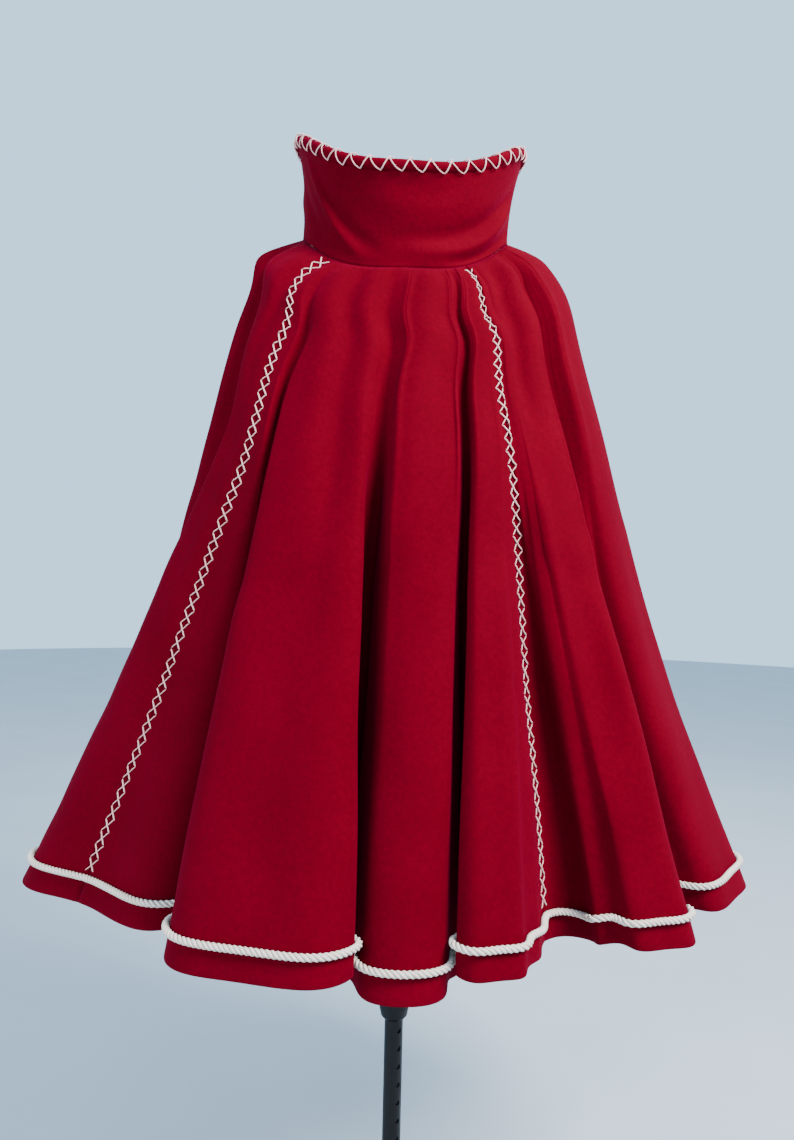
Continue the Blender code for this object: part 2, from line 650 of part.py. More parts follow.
def add_stand():
    """The round base, the locking collar and the tube that carries the form."""
    edge = 0.003
    base = (
        (0.0, 0.0),
        (BASE_RADIUS, 0.0),
        (BASE_RADIUS, BASE_THICK - edge),
        (BASE_RADIUS - edge, BASE_THICK),
        (BOSS_RADIUS + edge, BASE_THICK + edge),
        (BOSS_RADIUS - edge, BASE_THICK + 2.0 * edge),
        (BOSS_RADIUS - 2.0 * edge, BOSS_TOP),
        (0.0, BOSS_TOP),
    )
    add_turned("base_plate", base, ROUND_STEPS, "black_paint")
    lock = (
        (BORE_RADIUS, LOCK_BOTTOM),
        (BORE_RADIUS + 0.0015, LOCK_BOTTOM),
        (LOCK_MOUTH_RADIUS, LOCK_BOTTOM + 0.004),
        (LOCK_RADIUS, LOCK_BOTTOM + 0.0155),
        (LOCK_RADIUS, LOCK_TOP - edge),
        (LOCK_RADIUS - edge, LOCK_TOP),
        (BORE_RADIUS, LOCK_TOP),
    )
    add_turned("locking_collar", lock, ROUND_STEPS, "black_paint")
    tube = (
        (BORE_RADIUS, LOCK_TOP + SEAT_GAP),
        (TUBE_RADIUS, LOCK_TOP + SEAT_GAP),
        (TUBE_RADIUS, FORM_BOTTOM - SEAT_GAP),
        (BORE_RADIUS, FORM_BOTTOM - SEAT_GAP),
    )
    add_turned("upper_tube", tube, ROUND_STEPS, "black_paint")
    add_pole()


def clear_scene():
    """Empties the scene."""
    for item in list(bpy.data.objects):
        bpy.data.objects.remove(item, do_unlink=True)


def main():
    clear_scene()
    add_panels()
    add_collar()
    add_hem_trim()
    add_form()
    add_stand()


main()
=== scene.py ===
"""The long wool cape on its dress form, dressed for the photograph's view.

Metres, +Z up. The origin is on the floor, on the pole's axis, and the front is the -Y side.
The cape's shape comes from the same sections and folds as its solids. Here it is read finely, gets
its creases, and is finished with its stitches, its rolled edge and its twisted cord.
"""

import math

import bmesh
import bpy
import numpy as np
from mathutils import Matrix, Vector
from mathutils.bvhtree import BVHTree

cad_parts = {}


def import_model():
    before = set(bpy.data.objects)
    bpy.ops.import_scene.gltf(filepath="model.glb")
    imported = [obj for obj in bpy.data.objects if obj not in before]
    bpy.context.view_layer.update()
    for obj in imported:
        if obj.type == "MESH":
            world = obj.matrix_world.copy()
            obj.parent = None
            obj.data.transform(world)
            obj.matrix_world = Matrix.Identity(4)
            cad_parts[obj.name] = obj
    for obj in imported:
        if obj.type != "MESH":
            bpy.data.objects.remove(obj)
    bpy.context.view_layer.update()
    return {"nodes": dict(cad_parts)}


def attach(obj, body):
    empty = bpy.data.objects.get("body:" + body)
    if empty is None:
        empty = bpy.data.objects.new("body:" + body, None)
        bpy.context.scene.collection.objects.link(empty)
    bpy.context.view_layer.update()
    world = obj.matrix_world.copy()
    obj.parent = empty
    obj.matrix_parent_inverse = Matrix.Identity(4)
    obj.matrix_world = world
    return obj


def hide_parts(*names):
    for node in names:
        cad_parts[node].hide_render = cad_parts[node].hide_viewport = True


# Cloth
WALL = 0.003
SEAM_GAP = 0.0006
SEAT_GAP = 0.0003
COLLAR_WALL = 0.004
COLLAR_SEAT = 0.0008

# Sections of the cape above the free folds, from the neck seam down to the chest.
# turn is how far the folds have moved from their places at the neck to those at the chest, and
# ripple is how far the folds stand out of the smooth shape and sink into it.
SECTION_COLUMNS = (
    "name", "centre_x", "half_width", "front", "back", "side_z", "front_z", "back_z", "turn", "ripple",
)
SECTIONS = (
    ("neck", -0.0085, 0.1395, 0.110, 0.100, 1.3745, 1.306, 1.368, 0.00, 0.0000),
    ("yoke", -0.0095, 0.1600, 0.117, 0.108, 1.3655, 1.292, 1.356, 0.08, 0.0022),
    ("slope", -0.0115, 0.1820, 0.124, 0.117, 1.3545, 1.270, 1.338, 0.20, 0.0040),
    ("corner", -0.0120, 0.1930, 0.132, 0.126, 1.3440, 1.243, 1.312, 0.35, 0.0055),
    ("cap", -0.0040, 0.2050, 0.141, 0.136, 1.3120, 1.212, 1.277, 0.50, 0.0070),
    ("arm", -0.0040, 0.2215, 0.153, 0.150, 1.2550, 1.165, 1.225, 0.75, 0.0090),
    ("chest", -0.0020, 0.2455, 0.172, 0.170, 1.1500, 1.090, 1.130, 1.00, 0.0115),
)

# The folds, going round from the left side over the front. At the hem a fold has a left and a
# right edge, a crown that stands out between them, and a round-bottomed valley after it. A tuck is
# how far its flank bends in under the fold, and bow is how far it hangs out half-way down.
FOLD_COLUMNS = (
    "name", "left_x", "left_y", "right_x", "right_y", "crown", "tuck_left", "tuck_right",
    "valley_x", "valley_y", "valley_width", "hem_z", "bow",
)
FOLDS = (
    ("left_front", -0.514, 0.000, -0.266, -0.169, 0.012, 0.000, 0.004, -0.203, -0.132, 0.030, 0.501, -0.008),
    ("front_left", -0.258, -0.234, -0.048, -0.284, 0.035, 0.000, 0.046, -0.076, -0.158, 0.032, 0.502, 0.003),
    ("front_middle", -0.050, -0.242, 0.060, -0.234, 0.049, 0.002, 0.003, 0.090, -0.154, 0.032, 0.477, 0.000),
    ("front_right", 0.066, -0.281, 0.145, -0.260, 0.009, 0.038, 0.012, 0.207, -0.157, 0.052, 0.503, 0.000),
    ("right_front", 0.260, -0.190, 0.354, -0.168, 0.014, 0.000, 0.014, 0.296, -0.094, 0.032, 0.503, 0.000),
    ("right_side", 0.372, -0.084, 0.480, 0.054, 0.032, 0.002, 0.004, 0.392, 0.088, 0.032, 0.506, -0.014),
    ("right_back", 0.452, 0.128, 0.388, 0.218, 0.020, 0.004, 0.004, 0.310, 0.170, 0.030, 0.505, 0.000),
    ("back_right", 0.312, 0.262, 0.205, 0.318, 0.016, 0.000, 0.008, 0.166, 0.206, 0.032, 0.503, 0.000),
    ("back_middle", 0.132, 0.322, 0.012, 0.335, 0.020, 0.008, 0.008, -0.018, 0.214, 0.032, 0.501, 0.000),
    ("back_left", -0.054, 0.330, -0.155, 0.322, 0.018, 0.008, 0.006, -0.184, 0.206, 0.032, 0.502, 0.000),
    ("left_back", -0.230, 0.298, -0.322, 0.246, 0.018, 0.002, 0.006, -0.308, 0.156, 0.032, 0.504, 0.000),
    ("left_side", -0.388, 0.204, -0.448, 0.104, 0.020, 0.000, 0.000, -0.402, 0.036, 0.032, 0.507, 0.000),
)

# Where each fold's left edge, crown, right edge and valley lie at the neck and at the chest, and
# how far its valley sinks above the chest: -1 sinks as far as the crown stands out, and 1 not at all.
ANGLE_COLUMNS = (
    "name", "neck_left", "neck_crown", "neck_right", "neck_valley",
    "chest_left", "chest_crown", "chest_right", "chest_valley", "dip",
)
FOLD_ANGLES = (
    ("left_front", -66.0, -43.2, -37.5, -34.0, -60.0, -46.3, -42.0, -40.0, -0.2),
    ("front_left", -30.5, -23.0, -11.5, -4.0, -37.5, -24.0, -11.5, -7.0, -1.0),
    ("front_middle", 3.5, 12.0, 20.5, 24.0, -2.5, 6.0, 13.6, 16.4, -0.9),
    ("front_right", 27.0, 28.8, 30.4, 33.4, 18.7, 22.0, 25.2, 28.8, 0.6),
    ("right_front", 37.0, 44.0, 54.0, 59.0, 33.0, 39.0, 47.5, 51.5, -1.0),
    ("right_side", 65.0, 80.0, 98.0, 103.0, 58.0, 76.0, 96.0, 101.0, -1.0),
    ("right_back", 109.0, 118.0, 127.0, 132.0, 108.0, 118.0, 128.0, 133.0, -1.0),
    ("back_right", 137.0, 145.0, 153.0, 158.0, 138.0, 146.0, 154.0, 159.0, -1.0),
    ("back_middle", 163.0, 171.0, 179.0, 184.0, 164.0, 172.0, 180.0, 185.0, -1.0),
    ("back_left", 189.0, 197.0, 205.0, 210.0, 190.0, 198.0, 206.0, 211.0, -1.0),
    ("left_back", 215.0, 223.0, 231.0, 236.0, 216.0, 224.0, 232.0, 238.0, -1.0),
    ("left_side", 243.0, 260.0, 279.0, 286.0, 246.0, 262.0, 282.0, 292.0, -1.0),
)

SCOOP_POWER = 3.2
VALLEY_SINK = 0.008
VALLEY_ROUND = 0.25
FLANK_SHARE = 0.45
EDGE_ROUND = 0.011
EDGE_SPREAD = 0.5
FALL_STEPS = (0.22, 0.46, 0.72)
TRIM_ABOVE_HEM = 0.032
STATIONS_PER_FOLD = 10
WAVE_STATIONS = (2, 4, 8)
BEND_WEIGHT = 0.08

# Places round the cape and shares down it over which its slopes are taken
STEP_ROUND = 0.0002
STEP_DOWN = 0.002
KNOT_PLACES = 600

# Seams between the panels: the fold, and how many of its ten stations they lie past its start
SEAMS = (
    ("left_seam", "left_front", 2.93),
    ("right_seam", "front_right", 6.9),
    ("back_seam", "back_middle", 8.0),
)
PANELS = (
    ("front_panel", "left_seam", "right_seam"),
    ("right_panel", "right_seam", "back_seam"),
    ("left_panel", "back_seam", "left_seam"),
)

# Collar
COLLAR_TOP = {"centre_x": -0.0045, "half_width": 0.1500, "front": 0.128, "back": 0.122}
RIM_SIDE_Z = 1.4990
RIM_FRONT_Z = 1.4235
RIM_BACK_Z = 1.498
RIM_TILT = -0.034
RIM_POWER = 2.8
RIM_RADIUS = 0.0068
RIM_SIDES = 8
COLLAR_HOLLOW = 0.004

# Dress form. Its neck and body are level ovals, and between them its shoulders lie just inside the
# cape's own sections.
NECK_COLUMNS = ("z", "half_width", "front", "back")
FORM_NECK = (
    (1.4440, 0.048, 0.048, 0.048),
    (1.4400, 0.052, 0.052, 0.052),
    (1.4150, 0.054, 0.052, 0.054),
    (1.3950, 0.070, 0.058, 0.062),
)
FORM_BODY = (
    (1.1700, 0.172, 0.126, 0.124),
    (1.1000, 0.158, 0.122, 0.116),
    (0.9700, 0.128, 0.095, 0.094),
    (0.8800, 0.148, 0.108, 0.112),
    (0.8000, 0.166, 0.118, 0.126),
    (0.7450, 0.166, 0.116, 0.122),
    (0.7350, 0.160, 0.110, 0.116),
)
FORM_SHOULDERS = ("neck", "yoke", "slope", "corner", "cap")
FORM_NECK_INSET = 0.0085
FORM_GAP = 0.0010
FORM_STEPS = 36

# Creases. Each runs down the cape along three points, given as a place round the cape (0 to 1, from
# the first fold's left flank on) and a share of the way from the neck to the hem. Its height is above
# the smooth cloth, and negative for a trough; its width is how far it reaches to each side.
CREASE_COLUMNS = (
    "top_place", "top", "middle_place", "middle", "end_place", "end", "height", "width",
)
CREASES = (
    (0.0290, 0.020, 0.0240, 0.110, 0.0230, 0.300, 0.0034, 0.015),
    (0.0520, 0.000, 0.0310, 0.100, 0.0285, 0.300, -0.0044, 0.011),
    (0.0500, 0.080, 0.0480, 0.300, 0.0520, 0.620, -0.0022, 0.020),
    (0.0200, 0.250, 0.0260, 0.480, 0.0300, 0.780, -0.0034, 0.020),
    (0.0300, 0.400, 0.0306, 0.540, 0.0350, 0.760, 0.0030, 0.016),
    (0.0660, 0.300, 0.0640, 0.600, 0.0680, 0.960, -0.0034, 0.034),
    (0.1400, 0.000, 0.1440, 0.150, 0.1385, 0.520, 0.0036, 0.020),
    (0.1560, 0.000, 0.1570, 0.200, 0.1560, 0.640, -0.0046, 0.015),
    (0.1700, 0.000, 0.1710, 0.200, 0.1700, 0.480, 0.0024, 0.015),
    (0.1240, 0.030, 0.1230, 0.220, 0.1260, 0.520, -0.0024, 0.016),
    (0.1510, 0.460, 0.1500, 0.720, 0.1505, 1.000, -0.0036, 0.040),
    (0.1200, 0.500, 0.1230, 0.750, 0.1280, 1.000, 0.0024, 0.030),
    (0.2530, 0.000, 0.2485, 0.240, 0.2500, 0.740, 0.0036, 0.018),
    (0.2600, 0.000, 0.2600, 0.060, 0.2590, 0.180, -0.0036, 0.010),
    (0.2440, 0.000, 0.2430, 0.100, 0.2430, 0.300, -0.0020, 0.010),
    (0.2447, 0.400, 0.2447, 0.730, 0.2450, 1.000, -0.0030, 0.022),
    (0.2600, 0.350, 0.2580, 0.620, 0.2570, 0.980, 0.0018, 0.022),
    (0.3500, 0.020, 0.3385, 0.160, 0.3370, 0.560, 0.0026, 0.014),
    (0.3400, 0.450, 0.3410, 0.700, 0.3440, 0.980, 0.0022, 0.020),
    (0.4045, 0.010, 0.4015, 0.130, 0.4045, 0.440, -0.0072, 0.013),
    (0.4090, 0.010, 0.4075, 0.130, 0.4110, 0.440, 0.0038, 0.013),
    (0.3850, 0.080, 0.3985, 0.240, 0.4048, 0.480, 0.0044, 0.015),
    (0.4060, 0.420, 0.4093, 0.604, 0.4150, 0.860, 0.0050, 0.018),
    (0.4080, 0.440, 0.4035, 0.650, 0.3870, 0.980, -0.0066, 0.024),
    (0.3940, 0.340, 0.3880, 0.600, 0.3845, 0.900, 0.0070, 0.025),
    (0.4300, 0.000, 0.4300, 0.160, 0.4240, 0.360, -0.0034, 0.013),
    (0.4600, 0.040, 0.4600, 0.200, 0.4620, 0.480, 0.0030, 0.018),
    (0.4950, 0.000, 0.4930, 0.220, 0.4900, 0.540, -0.0040, 0.018),
    (0.5200, 0.020, 0.5170, 0.260, 0.5100, 0.720, 0.0030, 0.024),
    (0.5380, 0.000, 0.5350, 0.200, 0.5320, 0.440, -0.0032, 0.015),
    (0.4800, 0.450, 0.4850, 0.700, 0.4900, 1.000, -0.0030, 0.034),
    (0.5780, 0.000, 0.5800, 0.220, 0.5830, 0.520, -0.0036, 0.016),
    (0.5920, 0.040, 0.5920, 0.300, 0.5900, 0.740, 0.0028, 0.020),
    (0.6370, 0.000, 0.6400, 0.220, 0.6430, 0.580, -0.0040, 0.016),
    (0.6520, 0.000, 0.6520, 0.160, 0.6500, 0.420, 0.0026, 0.014),
    (0.6430, 0.520, 0.6450, 0.760, 0.6470, 1.000, -0.0024, 0.028),
    (0.6980, 0.000, 0.7010, 0.200, 0.7040, 0.520, -0.0034, 0.015),
    (0.7150, 0.000, 0.7130, 0.240, 0.7110, 0.680, -0.0030, 0.019),
    (0.7070, 0.060, 0.7075, 0.280, 0.7080, 0.620, 0.0024, 0.017),
    (0.7620, 0.000, 0.7640, 0.180, 0.7660, 0.460, -0.0038, 0.015),
    (0.7740, 0.000, 0.7720, 0.260, 0.7710, 0.740, 0.0028, 0.019),
    (0.8210, 0.000, 0.8230, 0.220, 0.8250, 0.580, -0.0036, 0.017),
    (0.8370, 0.000, 0.8350, 0.180, 0.8330, 0.440, -0.0028, 0.014),
    (0.8290, 0.450, 0.8300, 0.700, 0.8320, 1.000, 0.0024, 0.026),
    (0.8870, 0.000, 0.8900, 0.220, 0.8930, 0.560, -0.0040, 0.019),
    (0.9050, 0.020, 0.9040, 0.260, 0.9030, 0.660, 0.0030, 0.021),
    (0.9210, 0.000, 0.9200, 0.180, 0.9180, 0.440, -0.0034, 0.015),
    (0.9740, 0.020, 0.9720, 0.200, 0.9700, 0.480, -0.0034, 0.016),
)

# A crease rises over a share of its length, sooner where it starts at the neck, and falls away
CREASE_RISE = 0.12
NECK_CREASE_TOP = 0.03
NECK_CREASE_RISE = 0.03
CREASE_FALL = 0.55

# Creases of the collar: degrees round and share of its height at both ends and half-way.
COLLAR_CREASE_COLUMNS = (
    "start_degrees", "start", "middle_degrees", "middle", "end_degrees", "end", "height", "width",
)
COLLAR_CREASES = (
    (-62.0, 0.88, -46.0, 0.50, -28.0, 0.24, 0.0046, 0.0085),
    (-50.0, 0.66, -38.0, 0.32, -24.0, 0.12, 0.0036, 0.0075),
    (-54.0, 0.84, -38.0, 0.46, -16.0, 0.20, -0.0048, 0.0105),
    (-84.0, 0.70, -66.0, 0.40, -46.0, 0.14, -0.0034, 0.0110),
    (74.0, 0.44, 46.0, 0.22, 6.0, 0.17, 0.0060, 0.0100),
    (72.0, 0.58, 40.0, 0.40, -6.0, 0.32, -0.0062, 0.0130),
    (74.0, 0.14, 48.0, 0.06, 24.0, 0.06, -0.0040, 0.0075),
    (-20.0, 0.74, 6.0, 0.64, 36.0, 0.72, 0.0024, 0.0170),
    (100.0, 0.95, 125.0, 0.60, 150.0, 0.42, -0.0040, 0.012),
    (112.0, 0.62, 136.0, 0.36, 162.0, 0.26, 0.0038, 0.010),
    (130.0, 0.30, 156.0, 0.14, 184.0, 0.26, -0.0030, 0.010),
    (190.0, 0.84, 216.0, 0.58, 246.0, 0.40, -0.0040, 0.013),
    (200.0, 0.48, 228.0, 0.28, 258.0, 0.22, 0.0038, 0.010),
    (250.0, 0.86, 262.0, 0.56, 276.0, 0.34, 0.0030, 0.011),
)

# A collar crease is read in steps along its curve and fades towards both ends; its widths hold for
# a collar of this radius and height.
COLLAR_CREASE_STEPS = 40
COLLAR_MEAN_RADIUS = 0.135
COLLAR_MEAN_HEIGHT = 0.125
COLLAR_FADE = 0.06
COLLAR_FADE_POWER = 0.7

# The collar as it is dressed. Its relief dies out at the top, and mostly at the foot.
COLLAR_COLUMNS = 400
COLLAR_ROWS = 44
COLLAR_UNEVEN = 1.2
COLLAR_TOP_HOLD = 0.12
COLLAR_FOOT_HOLD = 0.06
COLLAR_FOOT_LEFT = 0.3
COLLAR_FOOT_DROP = 0.0014

# Slow unevenness of hanging cloth: height, waves per metre along x, y and z, and where it starts
UNEVEN = (
    (0.00045, 4.1, 2.3, 3.0, 0.3),
    (0.00040, -3.2, 5.2, 2.1, 1.9),
    (0.00035, 6.3, -4.4, 4.6, 4.0),
    (0.00030, 7.9, 6.1, -3.7, 2.6),
    (0.00020, 12.0, -9.0, 7.0, 5.1),
)

# The dressed cloth: how finely it is read, how near it comes to the form, how far down the neck
# seam holds it still and the form is near, its grooves at the seams, and its rounded hem edge
CLOTH_COLUMNS_ROUND = 1000
CLOTH_ROWS = 116
PANEL_FINE_STEPS = 3000
CLOTH_CLEARANCE = 0.0012
NECK_HOLD = 0.014
NEAR_FORM_DOWN = 0.30
SEAM_GROOVE = 0.0011
SEAM_GROOVE_WIDTH = 0.004
HEM_EDGE_TURNS = (36.0, 72.0, 108.0, 144.0)

# Cross stitches down the seams: the pitch grows from the first to the last one
STITCH_PITCHES = (0.0155, 0.0186)
STITCH_HALF_WIDTH = 0.0073
THREAD_RADII = (0.00070, 0.00088)
THREAD_POINT = 0.02
THREAD_TAPER = 0.60
STITCH_SPANS = (
    ("left_stitches", "left_seam", 0.006, 0.954),
    ("right_stitches", "right_seam", 0.010, 0.954),
)

# How far to each side of a seam, and in how many steps, the cloth is measured for its stitches
SEAM_LINE_STEPS = 600
SEAM_LEVELS = 90
SEAM_REACH = 0.03
SEAM_REACH_STEPS = 121

# A stitch's thread: points along it, how far its ends stray, and in parts of its radius how high it
# lies, arches up, goes over the thread under it and sinks in at its ends
STITCH_STEPS = 9
STITCH_SEED = 7
STITCH_SLIP = 0.0007
STITCH_LIFT = 0.55
STITCH_ARCH = 0.5
OVER_LIFT = 1.5
OVER_WIDTH = 0.14
STITCH_SINK = 0.7

# Crossed threads over the rolled edge: distance outside and above its centre line from the outer
# foot of a stitch over the edge to its inner foot. The crossing is at one of the points.
RIM_STITCH_PITCH = 0.0252
RIM_THREAD_PATH = (
    (0.0034, -0.0086),
    (0.0062, -0.0064),
    (0.0081, -0.0018),
    (0.0078, 0.0030),
    (0.0057, 0.0064),
    (0.0020, 0.0083),
    (-0.0030, 0.0080),
    (-0.0070, 0.0048),
    (-0.0084, 0.0000),
    (-0.0070, -0.0054),
    (-0.0036, -0.0086),
)
RIM_CROSSING = 4
RIM_FOOT_REACH = (0.38, 0.62)
RIM_LEG_BOWS = (1.7, 1.0)
RIM_LINE_STEPS = 1440
RIM_THREAD_PLACES = 2880
RIM_THREAD_STEPS = 41
RIM_SEED = 11
RIM_SLIP = 0.03
RIM_OVER_LIFT = 1.4
RIM_OVER_WIDTH = 0.8

# The rolled edge, in parts of its radius: its swell, more on the side turned up and out, the pinch
# under each stitch, and slow waves as counts round the collar and twists round the roll
EDGE_COLUMNS = 1100
EDGE_SIDES = 18
EDGE_SWELL = 1.05
EDGE_OVER = 0.05
PINCH = 0.16
PINCH_TURN = 0.6
PINCH_WIDTH = 0.15
EDGE_WAVE_HEIGHT = 0.02
EDGE_WAVES = ((7.0, 3.0), (4.0, -2.0))

# Twisted cord
STRANDS = 3
STRAND_RADIUS = 0.00205
STRAND_REACH = 0.00236
CORD_PITCH = 0.0180
CORD_RINGS_PER_TURN = 12
CORD_SIDES = 6
CORD_FINE_STEPS = 4000
CORD_SINK = 0.0001

# Smoothing of the form's cover, and how sharp the edges of its two flat ends stay
FORM_SMOOTH_LEVELS = 2
FORM_EDGE_CREASE = 0.7

# Camera, surround, floor and lights
CAMERA_PLACE = (-0.0096, -1.19, 0.93)
CAMERA_SENSOR = 36.0
CAMERA_LENS = 27.47
CAMERA_ROLL = 1.3
SURROUND_COLOUR = (0.58, 0.90, 1.20, 1.0)
SURROUND_STRENGTH = 1.46
FLOOR_RADIUS = 9.0
FLOOR_Z = -0.001
LIGHT_COLUMNS = ("name", "place", "aim_z", "size", "power", "colour")
LIGHTS = (
    ("key", (1.80, -1.60, 3.0), 0.85, 1.3, 365.0, (1.0, 0.97, 0.95)),
    ("fill", (-2.3, -1.9, 1.2), 0.85, 1.8, 80.0, (0.95, 0.97, 1.0)),
    ("back", (0.6, 2.6, 2.4), 1.0, 1.6, 30.0, (0.95, 0.97, 1.0)),
)


def rows(columns, table):
    """The table's rows as dictionaries."""
    return [dict(zip(columns, row)) for row in table]


def spline_between(step, part, low, high, low_bend, high_bend):
    """Points of a cubic spline between two of its knots, from its values and bends at both."""
    rest = 1.0 - part
    straight = rest * low + part * high
    return straight + step**2 / 6.0 * ((rest**3 - rest) * low_bend + (part**3 - part) * high_bend)


def closed_spline(knots, values, at):
    """Smooth closed curve through values at the knots, which run from 0 to below 1."""
    knots = np.asarray(knots, float)
    values = np.asarray(values, float)
    count = len(knots)
    steps = np.diff(np.append(knots, knots[0] + 1.0))
    slopes = (np.roll(values, -1, axis=0) - values) / steps[:, None]
    system = np.zeros((count, count))
    for i in range(count):
        before = steps[i - 1]
        system[i, i - 1] += before
        system[i, i] += 2.0 * (before + steps[i])
        system[i, (i + 1) % count] += steps[i]
    bends = np.linalg.solve(system, 6.0 * (slopes - np.roll(slopes, 1, axis=0)))
    at = np.asarray(at, float) % 1.0
    i = np.searchsorted(knots, at, side="right") - 1
    step = steps[i][:, None]
    part = ((at - knots[i]) / steps[i])[:, None]
    j = (i + 1) % count
    return spline_between(step, part, values[i], values[j], bends[i], bends[j])


def rising_curve(knots, values, at):
    """Smooth curve of angles that never turns back; the values rise by 360 from one turn to the next."""
    x = np.concatenate((knots - 1.0, knots, knots + 1.0))
    y = np.concatenate((values - 360.0, values, values + 360.0))
    step = np.diff(x)
    slope = np.diff(y) / step
    before = 2.0 * step[1:] + step[:-1]
    after = step[1:] + 2.0 * step[:-1]
    tangent = np.zeros(len(x))
    tangent[1:-1] = (before + after) / (before / slope[:-1] + after / slope[1:])
    at = np.asarray(at, float)
    turns = np.floor(at)
    at = at - turns
    i = np.searchsorted(x, at, side="right") - 1
    part = (at - x[i]) / step[i]
    rest = 1.0 - part
    ends = y[i] * (1.0 + 2.0 * part) * rest**2 + y[i + 1] * (3.0 - 2.0 * part) * part**2
    return ends + step[i] * part * rest * (tangent[i] * rest - tangent[i + 1] * part) + 360.0 * turns


def wave_round(angles, degrees):
    """How far the angles lie on a fold (1) or in a valley (-1), for one section's station angles."""
    picked = angles.reshape(-1, STATIONS_PER_FOLD)[:, WAVE_STATIONS].ravel()
    levels = np.array([(1.0, 1.0, angle["dip"]) for angle in rows(ANGLE_COLUMNS, FOLD_ANGLES)]).ravel()
    x = np.concatenate((picked - 360.0, picked, picked + 360.0, picked + 720.0))
    y = np.tile(levels, 4)
    i = np.searchsorted(x, degrees, side="right") - 1
    part = (degrees - x[i]) / (x[i + 1] - x[i])
    return y[i] + (y[i + 1] - y[i]) * part**2 * (3.0 - 2.0 * part)


def fold_stations():
    """The stations round the cape: hem points in plan, hem heights, angles at the neck and the
    chest, and bows."""
    folds = rows(FOLD_COLUMNS, FOLDS)
    angles = rows(ANGLE_COLUMNS, FOLD_ANGLES)
    hem, height, neck, chest, bow = [], [], [], [], []
    for index, (fold, angle) in enumerate(zip(folds, angles)):
        left = np.array((fold["left_x"], fold["left_y"]))
        right = np.array((fold["right_x"], fold["right_y"]))
        valley = np.array((fold["valley_x"], fold["valley_y"]))
        last = folds[index - 1]
        following = folds[(index + 1) % len(folds)]
        last_valley = np.array((last["valley_x"], last["valley_y"]))
        last_angle = dict(angles[index - 1])
        if index == 0:
            last_angle["neck_valley"] -= 360.0
            last_angle["chest_valley"] -= 360.0
        along = (right - left) / np.linalg.norm(right - left)
        outward = np.array((along[1], -along[0]))
        crown = (left + right) / 2.0 + outward * fold["crown"]
        half = np.linalg.norm(right - left) / 2.0
        brow = outward * fold["crown"] * math.sqrt(1.0 - (1.0 - EDGE_ROUND / half) ** 2)
        flank_left = left + (last_valley - left) * FLANK_SHARE + along * fold["tuck_left"]
        flank_right = right + (valley - right) * FLANK_SHARE - along * fold["tuck_right"]
        mouth = (right + np.array((following["left_x"], following["left_y"]))) / 2.0 - valley
        mouth /= np.linalg.norm(mouth)
        round_ = np.array((-mouth[1], mouth[0])) * fold["valley_width"] / 2.0
        hem += [
            flank_left,
            left - outward * EDGE_ROUND,
            left + along * EDGE_ROUND + brow,
            crown,
            right - along * EDGE_ROUND + brow,
            right - outward * EDGE_ROUND,
            flank_right,
            valley - round_,
            valley - mouth * fold["valley_width"] * VALLEY_ROUND,
            valley + round_,
        ]
        low = (fold["hem_z"] + following["hem_z"]) / 2.0 - VALLEY_SINK
        height += [fold["hem_z"] - VALLEY_SINK / 2.0] + [fold["hem_z"]] * 5
        height += [fold["hem_z"] - VALLEY_SINK / 2.0, low, low, low]
        for place, found in (("neck", neck), ("chest", chest)):
            before = last_angle[place + "_valley"]
            keys = ("left", "crown", "right", "valley")
            start, middle, end, after = [angle[place + "_" + key] for key in keys]
            rise = (start - before) / 4.0
            fall = (after - end) / 4.0
            found += [start - 2.0 * rise, start - rise * EDGE_SPREAD, start + rise * EDGE_SPREAD, middle]
            found += [end - fall * EDGE_SPREAD, end + fall * EDGE_SPREAD, end + 2.0 * fall]
            found += [after - fall * EDGE_SPREAD, after, after + fall * EDGE_SPREAD]
        bow += [0.0] + [fold["bow"]] * 5 + [0.0] * 4
    return [np.array(found) for found in (hem, height, neck, chest, bow)]


def station_knots(hem):
    """Places of the stations round the hem, from 0 to below 1, by their distance along it."""
    spans = np.linalg.norm(np.roll(hem, -1, axis=0) - hem, axis=1)
    return np.concatenate(([0.0], np.cumsum(spans)[:-1])) / spans.sum()


def oval_points(section, degrees):
    """Points of one smooth section of the cape at the angles."""
    turn = np.radians(degrees)
    sine = np.sin(turn)
    cosine = np.cos(turn)
    reach = np.where(cosine > 0.0, section["front"], section["back"])
    end_z = np.where(cosine > 0.0, section["front_z"], section["back_z"])
    x = section["centre_x"] + section["half_width"] * sine
    z = end_z + (section["side_z"] - end_z) * np.abs(sine) ** SCOOP_POWER
    return np.stack((x, -reach * cosine, z), axis=1)


def normals_of(grid, round_):
    """Outward unit normals of a grid of rings from the neck down, with each point's way round."""
    normals = np.cross(np.gradient(grid, axis=0), round_)
    return normals / np.linalg.norm(normals, axis=2, keepdims=True)


